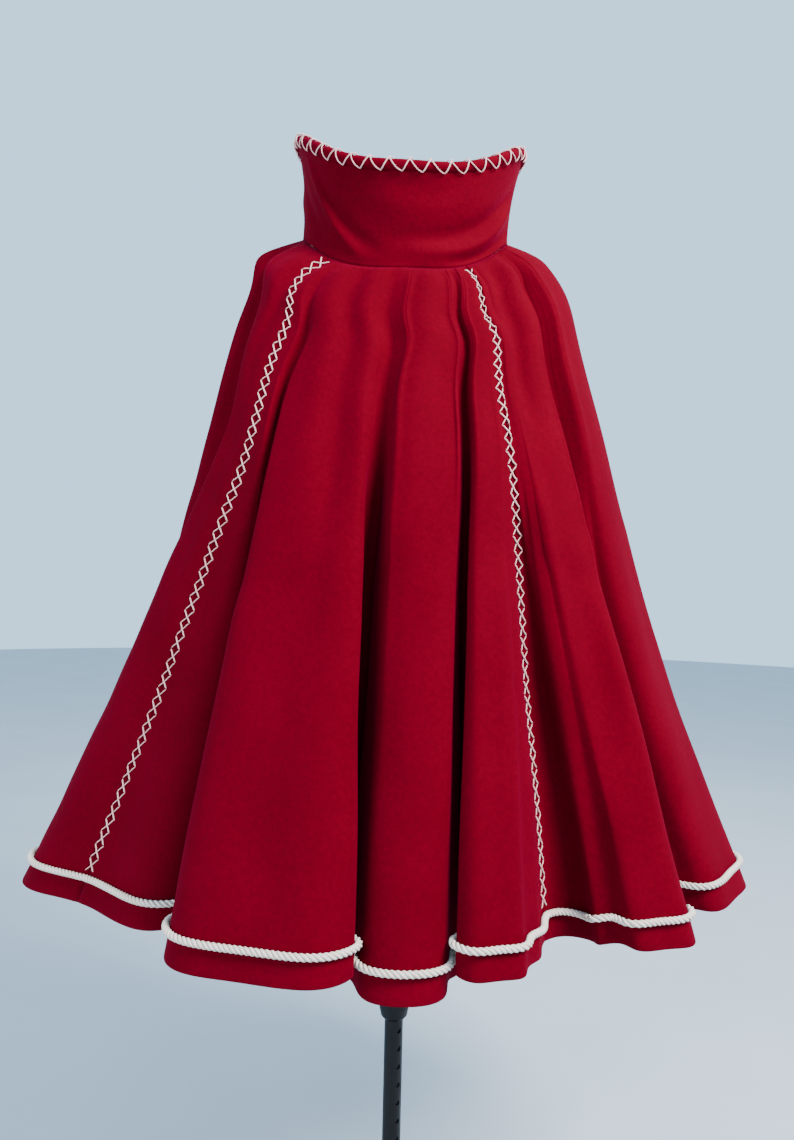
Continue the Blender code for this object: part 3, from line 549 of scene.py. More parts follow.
def cape_grid(at):
    """Outer points of the cape: one ring for each section and fall step, one point for each place."""
    hem, height, neck, chest, bow = fold_stations()
    knots = station_knots(hem)
    bottom = closed_spline(knots, np.column_stack((hem, height)), at)
    neck_at = rising_curve(knots, neck, at)
    chest_at = rising_curve(knots, chest, at)
    bow_at = closed_spline(knots, bow[:, None], at)[:, 0]
    smooth = []
    round_ = []
    ripples = []
    for section in rows(SECTION_COLUMNS, SECTIONS):
        degrees = neck_at + (chest_at - neck_at) * section["turn"]
        smooth.append(oval_points(section, degrees))
        round_.append(oval_points(section, degrees + 1.0) - oval_points(section, degrees - 1.0))
        wave = wave_round(neck + (chest - neck) * section["turn"], degrees)
        ripples.append(section["ripple"] * wave)
    smooth = np.stack(smooth)
    upper = smooth + normals_of(smooth, np.stack(round_)) * np.stack(ripples)[:, :, None]
    start = upper[-1]
    outward = bottom[:, :2] / np.linalg.norm(bottom[:, :2], axis=1, keepdims=True)
    trim_step = 1.0 - TRIM_ABOVE_HEM / (start[:, 2] - bottom[:, 2]).mean()
    lower = []
    for step in FALL_STEPS + (trim_step, 1.0):
        ring = start + (bottom - start) * step
        ring[:, :2] += outward * (4.0 * step * (1.0 - step) * bow_at)[:, None]
        lower.append(ring)
    return np.concatenate((upper, np.stack(lower)))


def seam_places():
    """Places of the seams round the cape by name."""
    knots = np.append(station_knots(fold_stations()[0]), 1.0)
    names = [fold[0] for fold in FOLDS]
    places = {}
    for name, fold, stations in SEAMS:
        station = names.index(fold) * STATIONS_PER_FOLD + int(stations)
        share = stations - int(stations)
        places[name] = knots[station] + (knots[station + 1] - knots[station]) * share
    return places


def square_frame(centres, side):
    """Unit side and up vectors square to a loop of points, the side ones near those given."""
    ahead = np.roll(centres, -1, axis=0) - np.roll(centres, 1, axis=0)
    up = np.cross(side, ahead)
    up /= np.linalg.norm(up, axis=1, keepdims=True)
    side = np.cross(ahead, up)
    return side / np.linalg.norm(side, axis=1, keepdims=True), up


def collar_rings(steps, heights):
    """Outer points of the collar's wall, from the neck seam up, and the rim's middle line."""
    degrees = np.arange(steps) * 360.0 / steps
    turn = np.radians(degrees)
    neck = rows(SECTION_COLUMNS, SECTIONS)[0]
    base = oval_points(neck, degrees)
    base[:, 2] += COLLAR_SEAT
    cosine = np.cos(turn)
    reach = np.where(cosine > 0.0, COLLAR_TOP["front"], COLLAR_TOP["back"])
    end_z = np.where(cosine > 0.0, RIM_FRONT_Z, RIM_BACK_Z)
    x = COLLAR_TOP["centre_x"] + COLLAR_TOP["half_width"] * np.sin(turn)
    z = end_z + (RIM_SIDE_Z - end_z) * np.abs(np.sin(turn)) ** RIM_POWER + RIM_TILT * x
    rim = np.stack((x, -reach * cosine, z), axis=1)
    outward = np.stack((np.sin(turn), -cosine, np.zeros_like(turn)), axis=1)
    _, up = square_frame(rim, outward)
    reach = RIM_RADIUS * math.cos(math.pi / RIM_SIDES) + SEAT_GAP
    top = rim + outward * COLLAR_WALL / 2.0 - up * reach
    levels = []
    for level in heights:
        ring = base + (top - base) * level
        ring -= outward * (COLLAR_HOLLOW * 4.0 * level * (1.0 - level))
        levels.append(ring)
    return np.stack(levels), outward, rim


def form_rings():
    """Rings of the dress form, from the top of its neck to its bottom."""
    degrees = np.arange(FORM_STEPS) * 360.0 / FORM_STEPS
    turn = np.radians(degrees)
    levels = []
    for table in (FORM_NECK, FORM_BODY):
        rings = []
        for section in rows(NECK_COLUMNS, table):
            reach = np.where(np.cos(turn) > 0.0, section["front"], section["back"])
            height = np.full(FORM_STEPS, section["z"])
            wide = section["half_width"] * np.sin(turn)
            rings.append(np.stack((wide, -reach * np.cos(turn), height), axis=1))
        levels.append(np.stack(rings))
    sections = [section for section in rows(SECTION_COLUMNS, SECTIONS) if section["name"] in FORM_SHOULDERS]
    smooth = np.stack([oval_points(section, degrees) for section in sections])
    inset = np.array([WALL + section["ripple"] + FORM_GAP for section in sections])
    inset[0] = FORM_NECK_INSET
    round_ = np.roll(smooth, -1, axis=1) - np.roll(smooth, 1, axis=1)
    shoulders = smooth - normals_of(smooth, round_) * inset[:, None, None]
    return np.concatenate((levels[0], shoulders, levels[1]))


def grid_faces(rings, across, rings_closed, across_closed, start=0):
    """Four-cornered faces of a grid of points that may run right round either way."""
    index = np.arange(rings * across).reshape(rings, across) + start
    right = np.roll(index, -1, axis=1)
    below = np.roll(index, -1, axis=0)
    corner = np.roll(right, -1, axis=0)
    faces = np.stack((index, right, corner, below), axis=-1)
    rings_end = None if rings_closed else -1
    across_end = None if across_closed else -1
    return faces[:rings_end, :across_end].reshape(-1, 4)


def lengths_along(line, closed=False):
    """Distances along a line of points from its first one, back to that one if it is closed."""
    if closed:
        line = np.concatenate((line, line[:1]))
    return np.concatenate(([0.0], np.cumsum(np.linalg.norm(np.diff(line, axis=0), axis=1))))


def soft_step(share):
    """Smooth rise from 0 to 1."""
    share = np.clip(share, 0.0, 1.0)
    return share**2 * (3.0 - 2.0 * share)


def bell(distance, width):
    """Bell curve with a height of 1."""
    return np.exp(-((distance / width) ** 2))


def down_knots():
    """Shares of the way from the neck to the hem at which the cape's rings lie."""
    grid = cape_grid(np.arange(KNOT_PLACES) / KNOT_PLACES)
    steps = np.linalg.norm(np.diff(grid, axis=0), axis=2).mean(axis=1)
    knots = np.concatenate(([0.0], np.cumsum(steps)))
    return knots / knots[-1]


def down_bends(knots):
    """Matrix that turns the rings' points into the second slopes of a smooth line through them."""
    count = len(knots)
    steps = np.diff(knots)
    left = np.eye(count)
    right = np.zeros((count, count))
    for i in range(1, count - 1):
        left[i, i - 1] = steps[i - 1]
        left[i, i] = 2.0 * (steps[i - 1] + steps[i])
        left[i, i + 1] = steps[i]
        right[i, i - 1] = 6.0 / steps[i - 1]
        right[i, i] = -6.0 / steps[i - 1] - 6.0 / steps[i]
        right[i, i + 1] = 6.0 / steps[i]
    return np.linalg.solve(left, right)


def form_tree():
    """The dress form's surface as a tree that finds the nearest place on it."""
    rings = form_rings()
    faces = grid_faces(len(rings), FORM_STEPS, False, True)
    return BVHTree.FromPolygons(rings.reshape(-1, 3).tolist(), faces.tolist())


KNOTS_DOWN = down_knots()
BENDS_DOWN = down_bends(KNOTS_DOWN)
SEAM_PLACES = seam_places()
FORM_TREE = form_tree()


def smooth_point(at, down):
    """Points of the smooth cape at pairs of places round and shares down."""
    rings = cape_grid(at)
    bends = np.einsum("ij,jkl->ikl", BENDS_DOWN, rings)
    i = np.clip(np.searchsorted(KNOTS_DOWN, down, side="right") - 1, 0, len(KNOTS_DOWN) - 2)
    k = np.arange(len(at))
    step = (KNOTS_DOWN[i + 1] - KNOTS_DOWN[i])[:, None]
    part = (down - KNOTS_DOWN[i])[:, None] / step
    return spline_between(step, part, rings[i, k], rings[i + 1, k], bends[i, k], bends[i + 1, k])


def room_inside(point, normal):
    """How far the wall at each point may sink before it comes too near to the dress form."""
    inner = point - normal * WALL
    away = np.array([FORM_TREE.find_nearest(place)[3] for place in inner.tolist()])
    return np.maximum(away - CLOTH_CLEARANCE, 0.0)


def away_round(at, middle, per_place):
    """Distances round the cape from one place to others."""
    return ((at - middle + 0.5) % 1.0 - 0.5) * per_place


def crease_height(at, down, per_place):
    """Height of the creases at pairs of places round and shares down."""
    total = np.zeros(len(at))
    for crease in rows(CREASE_COLUMNS, CREASES):
        places = [crease[key] for key in ("top_place", "middle_place", "end_place")]
        downs = [crease[key] for key in ("top", "middle", "end")]
        fit = np.polyfit(downs, places, 2)
        middle = np.polyval(fit, np.clip(down, crease["top"], crease["end"]))
        across = bell(away_round(at, middle, per_place), crease["width"])
        share = (down - crease["top"]) / (crease["end"] - crease["top"])
        rise = CREASE_RISE if crease["top"] > NECK_CREASE_TOP else NECK_CREASE_RISE
        along = soft_step(share / rise) * soft_step((1.0 - share) / CREASE_FALL)
        total += crease["height"] * across * along
    return total


def unevenness(point):
    """Slow unevenness of the cloth at points."""
    total = 0.0
    for reach, x, y, z, phase in UNEVEN:
        total = total + reach * np.sin(2.0 * math.pi * (point @ np.array((x, y, z))) + phase)
    return total


def cloth_point(at, down):
    """Points of the cape's outer face with its creases, its outward normals and ways round, and how
    far round a whole turn of places would go there."""
    point = smooth_point(at, down)
    round_ = smooth_point(at + STEP_ROUND, down) - smooth_point(at - STEP_ROUND, down)
    low = np.clip(down + STEP_DOWN, 0.0, 1.0)
    high = np.clip(down - STEP_DOWN, 0.0, 1.0)
    normal = np.cross(smooth_point(at, low) - smooth_point(at, high), round_)
    normal /= np.linalg.norm(normal, axis=1, keepdims=True)
    reach = np.linalg.norm(round_, axis=1)
    per_place = reach / (2.0 * STEP_ROUND)
    height = crease_height(at, down, per_place) + unevenness(point)
    for seam in SEAM_PLACES.values():
        height -= SEAM_GROOVE * bell(away_round(at, seam, per_place), SEAM_GROOVE_WIDTH)
    near = down < NEAR_FORM_DOWN
    if near.any():
        height[near] = np.maximum(height[near], -room_inside(point[near], normal[near]))
    height *= np.clip(down / NECK_HOLD, 0.0, 1.0)
    return point + normal * height[:, None], normal, round_ / reach[:, None], per_place


def new_object(name, mesh, finish):
    """Links a mesh as an object with a material."""
    made = bpy.data.objects.new(name, mesh)
    mesh.materials.append(finish)
    bpy.context.scene.collection.objects.link(made)
    return made


def quad_object(name, points, quads, finish):
    """A smooth-shaded object from an array of points and an array of four-cornered faces."""
    mesh = bpy.data.meshes.new(name)
    points = np.ascontiguousarray(points, dtype=np.float32)
    quads = np.ascontiguousarray(quads, dtype=np.int32)
    mesh.vertices.add(len(points))
    mesh.vertices.foreach_set("co", points.ravel())
    mesh.loops.add(quads.size)
    mesh.loops.foreach_set("vertex_index", quads.ravel())
    mesh.polygons.add(len(quads))
    mesh.polygons.foreach_set("loop_start", np.arange(0, quads.size, 4, dtype=np.int32))
    mesh.update(calc_edges=True)
    mesh.validate()
    mesh.shade_smooth()
    return new_object(name, mesh, finish)


def end_caps(around, along, rows_count, edge_rows):
    """Faces that close a panel's wall at its two seams."""
    quads = []
    index = np.arange(around * along).reshape(around, along)
    for column, flip in ((0, False), (along - 1, True)):
        outer = index[:rows_count, column]
        inner = index[rows_count + edge_rows:, column][::-1]
        faces = [(outer[k], outer[k + 1], inner[k + 1], inner[k]) for k in range(rows_count - 1)]
        edge = [outer[-1], *index[rows_count:rows_count + edge_rows, column], inner[-1]]
        while len(edge) > 3:
            faces.append((edge[0], edge[1], edge[-2], edge[-1]))
            edge = edge[1:-1]
        quads += [face[::-1] if flip else face for face in faces]
    return np.array(quads)


def panel(name, start, end, finish):
    """One panel of the cape as a wall between two seams with a rounded hem edge, and its flat area."""
    first = SEAM_PLACES[start]
    last = SEAM_PLACES[end]
    if last <= first:
        last += 1.0
    fine = np.linspace(first, last, PANEL_FINE_STEPS)
    ahead = np.diff(smooth_point(fine, np.ones(len(fine))), axis=0)
    heading = np.unwrap(np.arctan2(ahead[:, 1], ahead[:, 0]))
    bend = np.abs(np.diff(heading, append=heading[-1]))
    weight = np.linalg.norm(ahead, axis=1) + BEND_WEIGHT * bend
    total = np.concatenate(([0.0], np.cumsum(weight)))
    count = int(round(CLOTH_COLUMNS_ROUND * (last - first)))
    at = np.interp(np.linspace(0.0, total[-1], count), total, fine)
    down = np.linspace(0.0, 1.0, CLOTH_ROWS)
    outer, normal, way, _ = cloth_point(np.tile(at, CLOTH_ROWS), np.repeat(down, count))
    shape = (CLOTH_ROWS, count, 3)
    outer, normal, way = outer.reshape(shape), normal.reshape(shape), way.reshape(shape)
    outer[:, 0] += way[:, 0] * SEAM_GAP / 2.0
    outer[:, -1] -= way[:, -1] * SEAM_GAP / 2.0
    inner = outer - normal * WALL
    middle = (outer[-1] + inner[-1]) / 2.0
    fall = outer[-1] - outer[-2]
    fall /= np.linalg.norm(fall, axis=1, keepdims=True)
    edge = []
    for angle in np.radians(HEM_EDGE_TURNS):
        edge.append(middle + (normal[-1] * math.cos(angle) + fall * math.sin(angle)) * WALL / 2.0)
    section = np.concatenate((outer, np.stack(edge), inner[::-1]))
    quads = np.concatenate((
        grid_faces(len(section), count, True, False),
        end_caps(len(section), count, CLOTH_ROWS, len(edge)),
    ))
    return quad_object(name, section.reshape(-1, 3), quads[:, ::-1], finish), flat_area(outer)


def flat_area(grid):
    """Area of one face of a grid of points, in square metres."""
    across = np.diff(grid, axis=1)[:-1]
    along = np.diff(grid, axis=0)[:, :-1]
    return float(np.linalg.norm(np.cross(across, along), axis=2).sum())


def tube_points(centres, side, up, radius, sides):
    """Rings of points round a line of centres."""
    rings = []
    for k in range(sides):
        turn = 2.0 * math.pi * k / sides
        rings.append(centres + radius * (math.cos(turn) * side + math.sin(turn) * up))
    return np.stack(rings, axis=1)


def frame_along(path):
    """Side and up vectors along an open path, turned as little as possible."""
    ahead = np.gradient(path, axis=0)
    ahead /= np.linalg.norm(ahead, axis=1, keepdims=True)
    upright = abs(ahead[0, 2]) >= 0.9
    side = np.cross(ahead[0], (1.0, 0.0, 0.0) if upright else (0.0, 0.0, 1.0))
    sides = []
    for direction in ahead:
        side = side - direction * (side @ direction)
        side = side / np.linalg.norm(side)
        sides.append(side)
    sides = np.array(sides)
    return sides, np.cross(ahead, sides)


def threads_object(name, paths, radii, finish):
    """One object of many short threads, each a six-sided tube along its path with pointed ends."""
    sides = 6
    points = []
    quads = []
    start = 0
    for path, radius in zip(paths, radii):
        path = np.concatenate((path[:1], path, path[-1:]))
        path[0] += (path[1] - path[2]) * THREAD_POINT
        path[-1] += (path[-2] - path[-3]) * THREAD_POINT
        side, up = frame_along(path)
        taper = np.full(len(path), radius)
        taper[[0, -1]] = radius * THREAD_POINT
        taper[[1, -2]] = radius * THREAD_TAPER
        count = len(path)
        points.append(tube_points(path, side, up, taper[:, None], sides).reshape(-1, 3))
        quads.append(grid_faces(count, sides, False, True, start))
        index = np.arange(count * sides).reshape(count, sides) + start
        for end in (index[0, ::-1], index[-1]):
            quads.append(np.array(((end[0], end[1], end[2], end[5]), (end[5], end[2], end[3], end[4]))))
        start += count * sides
    return quad_object(name, np.concatenate(points), np.concatenate(quads), finish)


def stitch_corners(length):
    """Distances along a seam at which its cross stitches meet."""
    first, last = STITCH_PITCHES
    corners = [0.0]
    while corners[-1] < length:
        corners.append(corners[-1] + first + (last - first) * corners[-1] / length)
    return np.array(corners) * length / corners[-1]


def distances_round(place, levels):
    """Places on both sides of a seam, and their distances from it along the cloth at each level."""
    nearby = np.linspace(-SEAM_REACH, SEAM_REACH, SEAM_REACH_STEPS)
    count = len(levels)
    around, _, _, _ = cloth_point(np.tile(place + nearby, count), np.repeat(levels, len(nearby)))
    spans = np.linalg.norm(np.diff(around.reshape(count, len(nearby), 3), axis=1), axis=2)
    across = np.concatenate((np.zeros((count, 1)), np.cumsum(spans, axis=1)), axis=1)
    seam = len(nearby) // 2
    return nearby, across - across[:, seam:seam + 1]


def seam_stitches(name, seam, top, bottom, finish):
    """A chain of cross stitches that lies on the cape along a seam."""
    place = SEAM_PLACES[seam]
    down = np.linspace(top, bottom, SEAM_LINE_STEPS)
    line, _, _, _ = cloth_point(np.full(SEAM_LINE_STEPS, place), down)
    length = lengths_along(line)
    corners = stitch_corners(length[-1])
    levels = np.linspace(top, bottom, SEAM_LEVELS)
    nearby, across = distances_round(place, levels)
    paths = []
    radii = []
    wobble = np.random.default_rng(STITCH_SEED)
    share = np.linspace(0.0, 1.0, STITCH_STEPS)
    for start, end in zip(corners[:-1], corners[1:]):
        for leg, radius in enumerate(THREAD_RADII):
            slip = wobble.uniform(-STITCH_SLIP, STITCH_SLIP, 3)
            reach = start + slip[0] + (end - start + slip[2]) * share
            side = (2 * leg - 1) * (2.0 * share - 1.0) * (STITCH_HALF_WIDTH + slip[1])
            where = np.interp(reach, length, down)
            level = np.round(np.interp(where, levels, np.arange(SEAM_LEVELS))).astype(int)
            shift = [np.interp(way, across[row], nearby) for way, row in zip(side, level)]
            point, normal, _, _ = cloth_point(place + np.array(shift), where)
            lift = radius * (STITCH_LIFT + STITCH_ARCH * np.sin(math.pi * share))
            lift += leg * OVER_LIFT * radius * bell(share - 0.5, OVER_WIDTH)
            lift[0] = lift[-1] = -radius * STITCH_SINK
            paths.append(point + normal * lift[:, None])
            radii.append(radius)
    return threads_object(name, paths, radii, finish)


def twisted_cord(finish):
    """The three-strand cord that is sewn round the cape above its hem."""
    fine = np.arange(CORD_FINE_STEPS) / CORD_FINE_STEPS
    line, _, _, _ = cloth_point(fine, np.full(CORD_FINE_STEPS, KNOTS_DOWN[-2]))
    length = lengths_along(line, closed=True)
    rings = int(round(length[-1] / CORD_PITCH)) * CORD_RINGS_PER_TURN
    reach = np.arange(rings) / rings * length[-1]
    at = np.interp(reach, length, np.append(fine, 1.0))
    point, normal, _, _ = cloth_point(at, np.full(rings, KNOTS_DOWN[-2]))
    centres = point + normal * (STRAND_RADIUS + STRAND_REACH - CORD_SINK)
    side, up = square_frame(centres, normal)
    points = []
    quads = []
    for strand in range(STRANDS):
        phase = 2.0 * math.pi * (strand / STRANDS - np.arange(rings) / CORD_RINGS_PER_TURN)
        out = np.cos(phase)[:, None] * side + np.sin(phase)[:, None] * up
        middle = centres + STRAND_REACH * out
        ahead = np.roll(middle, -1, axis=0) - np.roll(middle, 1, axis=0)
        ahead /= np.linalg.norm(ahead, axis=1, keepdims=True)
        out -= ahead * np.sum(out * ahead, axis=1, keepdims=True)
        out /= np.linalg.norm(out, axis=1, keepdims=True)
        ring = tube_points(middle, out, np.cross(ahead, out), STRAND_RADIUS, CORD_SIDES)
        points.append(ring.reshape(-1, 3))
        quads.append(grid_faces(rings, CORD_SIDES, True, True, strand * rings * CORD_SIDES))
    return quad_object("twisted_cord", np.concatenate(points), np.concatenate(quads), finish)


def collar_crease_height(degrees, level):
    """Height of the collar's creases at its points."""
    total = np.zeros(degrees.shape)
    share = np.linspace(0.0, 1.0, COLLAR_CREASE_STEPS)
    for crease in rows(COLLAR_CREASE_COLUMNS, COLLAR_CREASES):
        curve = []
        for key in ("_degrees", ""):
            start = crease["start" + key]
            end = crease["end" + key]
            middle = 2.0 * crease["middle" + key] - (start + end) / 2.0
            curve.append((1 - share) ** 2 * start + 2 * share * (1 - share) * middle + share**2 * end)
        nearest = np.full(degrees.shape, np.inf)
        best = np.zeros(degrees.shape)
        for along, turn, rise in zip(share, *curve):
            away = (degrees - turn + 180.0) % 360.0 - 180.0
            distance = np.hypot(np.radians(away) * COLLAR_MEAN_RADIUS, (level - rise) * COLLAR_MEAN_HEIGHT)
            closer = distance < nearest
            nearest = np.where(closer, distance, nearest)
            best = np.where(closer, along, best)
        fade = np.sin(math.pi * (COLLAR_FADE + (1.0 - 2.0 * COLLAR_FADE) * best)) ** COLLAR_FADE_POWER
        total += crease["height"] * bell(nearest, crease["width"]) * fade
    return total


def collar_piece(finish):
    """The funnel collar with its soft diagonal creases, and its flat area."""
    heights = np.linspace(0.0, 1.0, COLLAR_ROWS)
    outer, outward, _ = collar_rings(COLLAR_COLUMNS, heights)
    degrees = np.arange(COLLAR_COLUMNS) * 360.0 / COLLAR_COLUMNS
    degrees = np.where(degrees > 300.0, degrees - 360.0, degrees)
    level, turn = np.meshgrid(heights, degrees, indexing="ij")
    hold = np.clip((1.0 - level) / COLLAR_TOP_HOLD, 0.0, 1.0)
    hold = hold * np.clip(level / COLLAR_FOOT_HOLD + COLLAR_FOOT_LEFT, 0.0, 1.0)
    height = (collar_crease_height(turn, level) + COLLAR_UNEVEN * unevenness(outer)) * hold
    outer = outer + outward * height[:, :, None]
    inner = outer - outward * COLLAR_WALL
    foot = (outer[0] + inner[0]) / 2.0 - np.array((0.0, 0.0, COLLAR_FOOT_DROP))
    top = (outer[-1] + inner[-1]) / 2.0
    section = np.concatenate((outer, top[None], inner[::-1], foot[None]))
    quads = grid_faces(len(section), COLLAR_COLUMNS, True, True)
    made = quad_object("funnel_collar", section.reshape(-1, 3), quads, finish)
    return made, flat_area(np.concatenate((outer, outer[:, :1]), axis=1))


def rim_line(count):
    """Evenly spaced points along the rolled edge with its side and up vectors, and its length."""
    _, outward, rim = collar_rings(RIM_LINE_STEPS, np.array((0.0, 1.0)))
    lengths = lengths_along(rim, closed=True)
    reach = np.arange(count) / count * lengths[-1]
    points = []
    for values in (rim, outward):
        closed = np.concatenate((values, values[:1]))
        points.append(np.stack([np.interp(reach, lengths, closed[:, k]) for k in range(3)], axis=1))
    side, up = square_frame(points[0], points[1])
    return points[0], side, up, lengths[-1]


def rolled_edge(finish):
    """The rolled top edge of the collar, drawn in a little where the stitches go over it."""
    centres, side, up, length = rim_line(EDGE_COLUMNS)
    turns_round = np.arange(EDGE_COLUMNS) / EDGE_COLUMNS
    along = turns_round * int(round(length / RIM_STITCH_PITCH))
    pinch = bell((along + 0.5) % 1.0 - 0.5, PINCH_WIDTH)
    points = []
    for k in range(EDGE_SIDES):
        turn = 2.0 * math.pi * k / EDGE_SIDES
        over = 0.5 + 0.5 * math.sin(turn + PINCH_TURN)
        swell = EDGE_SWELL + EDGE_OVER * over - PINCH * pinch * over
        for waves, twist in EDGE_WAVES:
            swell = swell + EDGE_WAVE_HEIGHT * np.sin(turns_round * 2.0 * math.pi * waves + twist * turn)
        around = math.cos(turn) * side + math.sin(turn) * up
        points.append(centres + (RIM_RADIUS * swell)[:, None] * around)
    quads = grid_faces(EDGE_SIDES, EDGE_COLUMNS, True, True)
    return quad_object("rolled_edge", np.concatenate(points), quads, finish)


def rim_stitches(name, finish):
    """Crossed threads over the rolled edge."""
    count = RIM_THREAD_PLACES
    centres, side, up, length = rim_line(count)
    crosses = int(round(length / RIM_STITCH_PITCH))
    path = np.array(RIM_THREAD_PATH)
    last = len(path) - 1.0
    fine = np.linspace(0.0, last, RIM_THREAD_STEPS)
    across, height = [np.interp(fine, np.arange(len(path)), path[:, k]) for k in (0, 1)]
    for values in (across, height):
        values[1:-1] = np.convolve(values, (0.25, 0.5, 0.25), "valid")
    before = np.clip((RIM_CROSSING - fine) / RIM_CROSSING, 0.0, 1.0)
    after = np.clip((fine - RIM_CROSSING) / (last - RIM_CROSSING), 0.0, 1.0)
    wobble = np.random.default_rng(RIM_SEED)
    paths = []
    radii = []
    for cross in range(crosses):
        for leg, radius in enumerate(THREAD_RADII):
            slip = wobble.uniform(-RIM_SLIP, RIM_SLIP)
            way = 2 * leg - 1
            place = cross + slip - way * RIM_FOOT_REACH[1 - leg] * before ** RIM_LEG_BOWS[leg]
            where = ((place + way * 0.5 * after) / crosses * count) % count
            low = np.floor(where).astype(int) % count
            high = (low + 1) % count
            part = (where - np.floor(where))[:, None]
            middle = centres[low] * (1.0 - part) + centres[high] * part
            out = side[low] * (1.0 - part) + side[high] * part
            rise = up[low] * (1.0 - part) + up[high] * part
            lift = leg * RIM_OVER_LIFT * radius * bell(fine - RIM_CROSSING, RIM_OVER_WIDTH)
            grow = 1.0 + lift / np.hypot(across, height)
            paths.append(middle + out * (across * grow)[:, None] + rise * (height * grow)[:, None])
            radii.append(radius)
    return threads_object(name, paths, radii, finish)


def form_cover(finish):
    """The dress form's jersey-covered torso, smooth and whole."""
    rings = form_rings()
    count = len(rings)
    faces = [tuple(face) for face in grid_faces(count, FORM_STEPS, False, True)]
    faces.append(tuple(range(FORM_STEPS)))
    faces.append(tuple(range((count - 1) * FORM_STEPS, count * FORM_STEPS)))
    mesh = bpy.data.meshes.new("form_cover")
    mesh.from_pydata([tuple(point) for point in rings.reshape(-1, 3)], [], faces)
    edit = bmesh.new()
    edit.from_mesh(mesh)
    bmesh.ops.recalc_face_normals(edit, faces=edit.faces)
    crease = edit.edges.layers.float.new("crease_edge")
    for face in edit.faces:
        if len(face.verts) > 4:
            for line in face.edges:
                line[crease] = FORM_EDGE_CREASE
    edit.to_mesh(mesh)
    edit.free()
    mesh.shade_smooth()
    made = new_object("form_cover", mesh, finish)
    smooth = made.modifiers.new("smooth", "SUBSURF")
    smooth.levels = FORM_SMOOTH_LEVELS
    smooth.render_levels = FORM_SMOOTH_LEVELS
    return made


def colour(red, green, blue):
    """An opaque colour."""
    return (red, green, blue, 1.0)


def grey(value):
    """An opaque grey."""
    return (value, value, value, 1.0)


def blank_material(name, base, roughness, specular=0.5, sheen=0.0):
    """A material with a Principled shader, and its tree, shader and object coordinates."""
    made = bpy.data.materials.new(name)
    made.use_nodes = True
    made.diffuse_color = base
    tree = made.node_tree
    shader = tree.nodes["Principled BSDF"]
    shader.inputs["Base Color"].default_value = base
    shader.inputs["Roughness"].default_value = roughness
    shader.inputs["Specular IOR Level"].default_value = specular
    shader.inputs["Sheen Weight"].default_value = sheen
    place = tree.nodes.new("ShaderNodeTexCoord")
    return made, tree, shader, place


def noise(tree, place, scale, detail, roughness=0.5):
    """Noise over the piece's own coordinates."""
    made = tree.nodes.new("ShaderNodeTexNoise")
    made.inputs["Scale"].default_value = scale
    made.inputs["Detail"].default_value = detail
    made.inputs["Roughness"].default_value = roughness
    tree.links.new(place.outputs["Object"], made.inputs["Vector"])
    return made


def ramp(tree, texture, low, low_colour, high, high_colour, socket=None):
    """A colour ramp between two colours over a texture, led to a socket if one is given."""
    made = tree.nodes.new("ShaderNodeValToRGB")
    made.color_ramp.elements[0].position = low
    made.color_ramp.elements[0].color = low_colour
    made.color_ramp.elements[1].position = high
    made.color_ramp.elements[1].color = high_colour
    tree.links.new(texture.outputs["Fac"], made.inputs["Fac"])
    if socket:
        tree.links.new(made.outputs["Color"], socket)
    return made


def multiply(tree, factor, first, second, socket):
    """Multiplies one ramp's colours by another's and leads them to a socket."""
    made = tree.nodes.new("ShaderNodeMix")
    made.data_type = "RGBA"
    made.blend_type = "MULTIPLY"
    made.inputs["Factor"].default_value = factor
    tree.links.new(first.outputs["Color"], made.inputs["A"])
    tree.links.new(second.outputs["Color"], made.inputs["B"])
    tree.links.new(made.outputs["Result"], socket)


def bump(tree, texture, strength, distance, socket):
    """A bump of a texture's height, led to a socket."""
    made = tree.nodes.new("ShaderNodeBump")
    made.inputs["Strength"].default_value = strength
    made.inputs["Distance"].default_value = distance
    tree.links.new(texture.outputs["Fac"], made.inputs["Height"])
    tree.links.new(made.outputs["Normal"], socket)
    return made


def wool_material():
    """Felted wool: deep red, matte, with a soft nap, small fibres and slow changes of shade."""
    base = colour(0.088, 0.0001, 0.0048)
    made, tree, shader, place = blank_material("felted_wool", base, 0.95, specular=0.02, sheen=0.12)
    shader.inputs["Sheen Roughness"].default_value = 0.40
    shader.inputs["Sheen Tint"].default_value = colour(1.0, 0.0, 0.14)
    slow = noise(tree, place, 9.0, 3.0, 0.55)
    nap = noise(tree, place, 170.0, 4.0, 0.62)
    fibre = noise(tree, place, 1300.0, 3.0, 0.7)
    broad = ramp(tree, slow, 0.30, colour(0.081, 0.0001, 0.0042), 0.72, colour(0.095, 0.0001, 0.0052))
    flecks = ramp(tree, nap, 0.34, grey(0.84), 0.70, grey(1.08))
    multiply(tree, 0.75, broad, flecks, shader.inputs["Base Color"])
    ramp(tree, nap, 0.3, grey(0.84), 0.7, grey(0.98), shader.inputs["Roughness"])
    fuzz = bump(tree, fibre, 0.60, 0.0004, shader.inputs["Normal"])
    bump(tree, nap, 0.55, 0.0010, fuzz.inputs["Normal"])
    return made


def thread_material(name, light, painted_shade):
    """Soft twisted thread, lighter on its fibres, with a painted shade colour between them."""
    made, tree, shader, place = blank_material(name, light, 0.78, specular=0.3, sheen=0.15)
    fibre = noise(tree, place, 1500.0, 3.0, 0.6)
    slow = noise(tree, place, 45.0, 2.0)
    # painted shade: fine noise mixes the thread's colour with a darker colour that stands in for the shade
    # between its fibres
    fine = ramp(tree, fibre, 0.30, painted_shade, 0.62, light)
    worn = ramp(tree, slow, 0.30, colour(0.90, 0.86, 0.82), 0.65, grey(1.0))
    multiply(tree, 1.0, fine, worn, shader.inputs["Base Color"])
    bump(tree, fibre, 0.7, 0.0003, shader.inputs["Normal"])
    return made


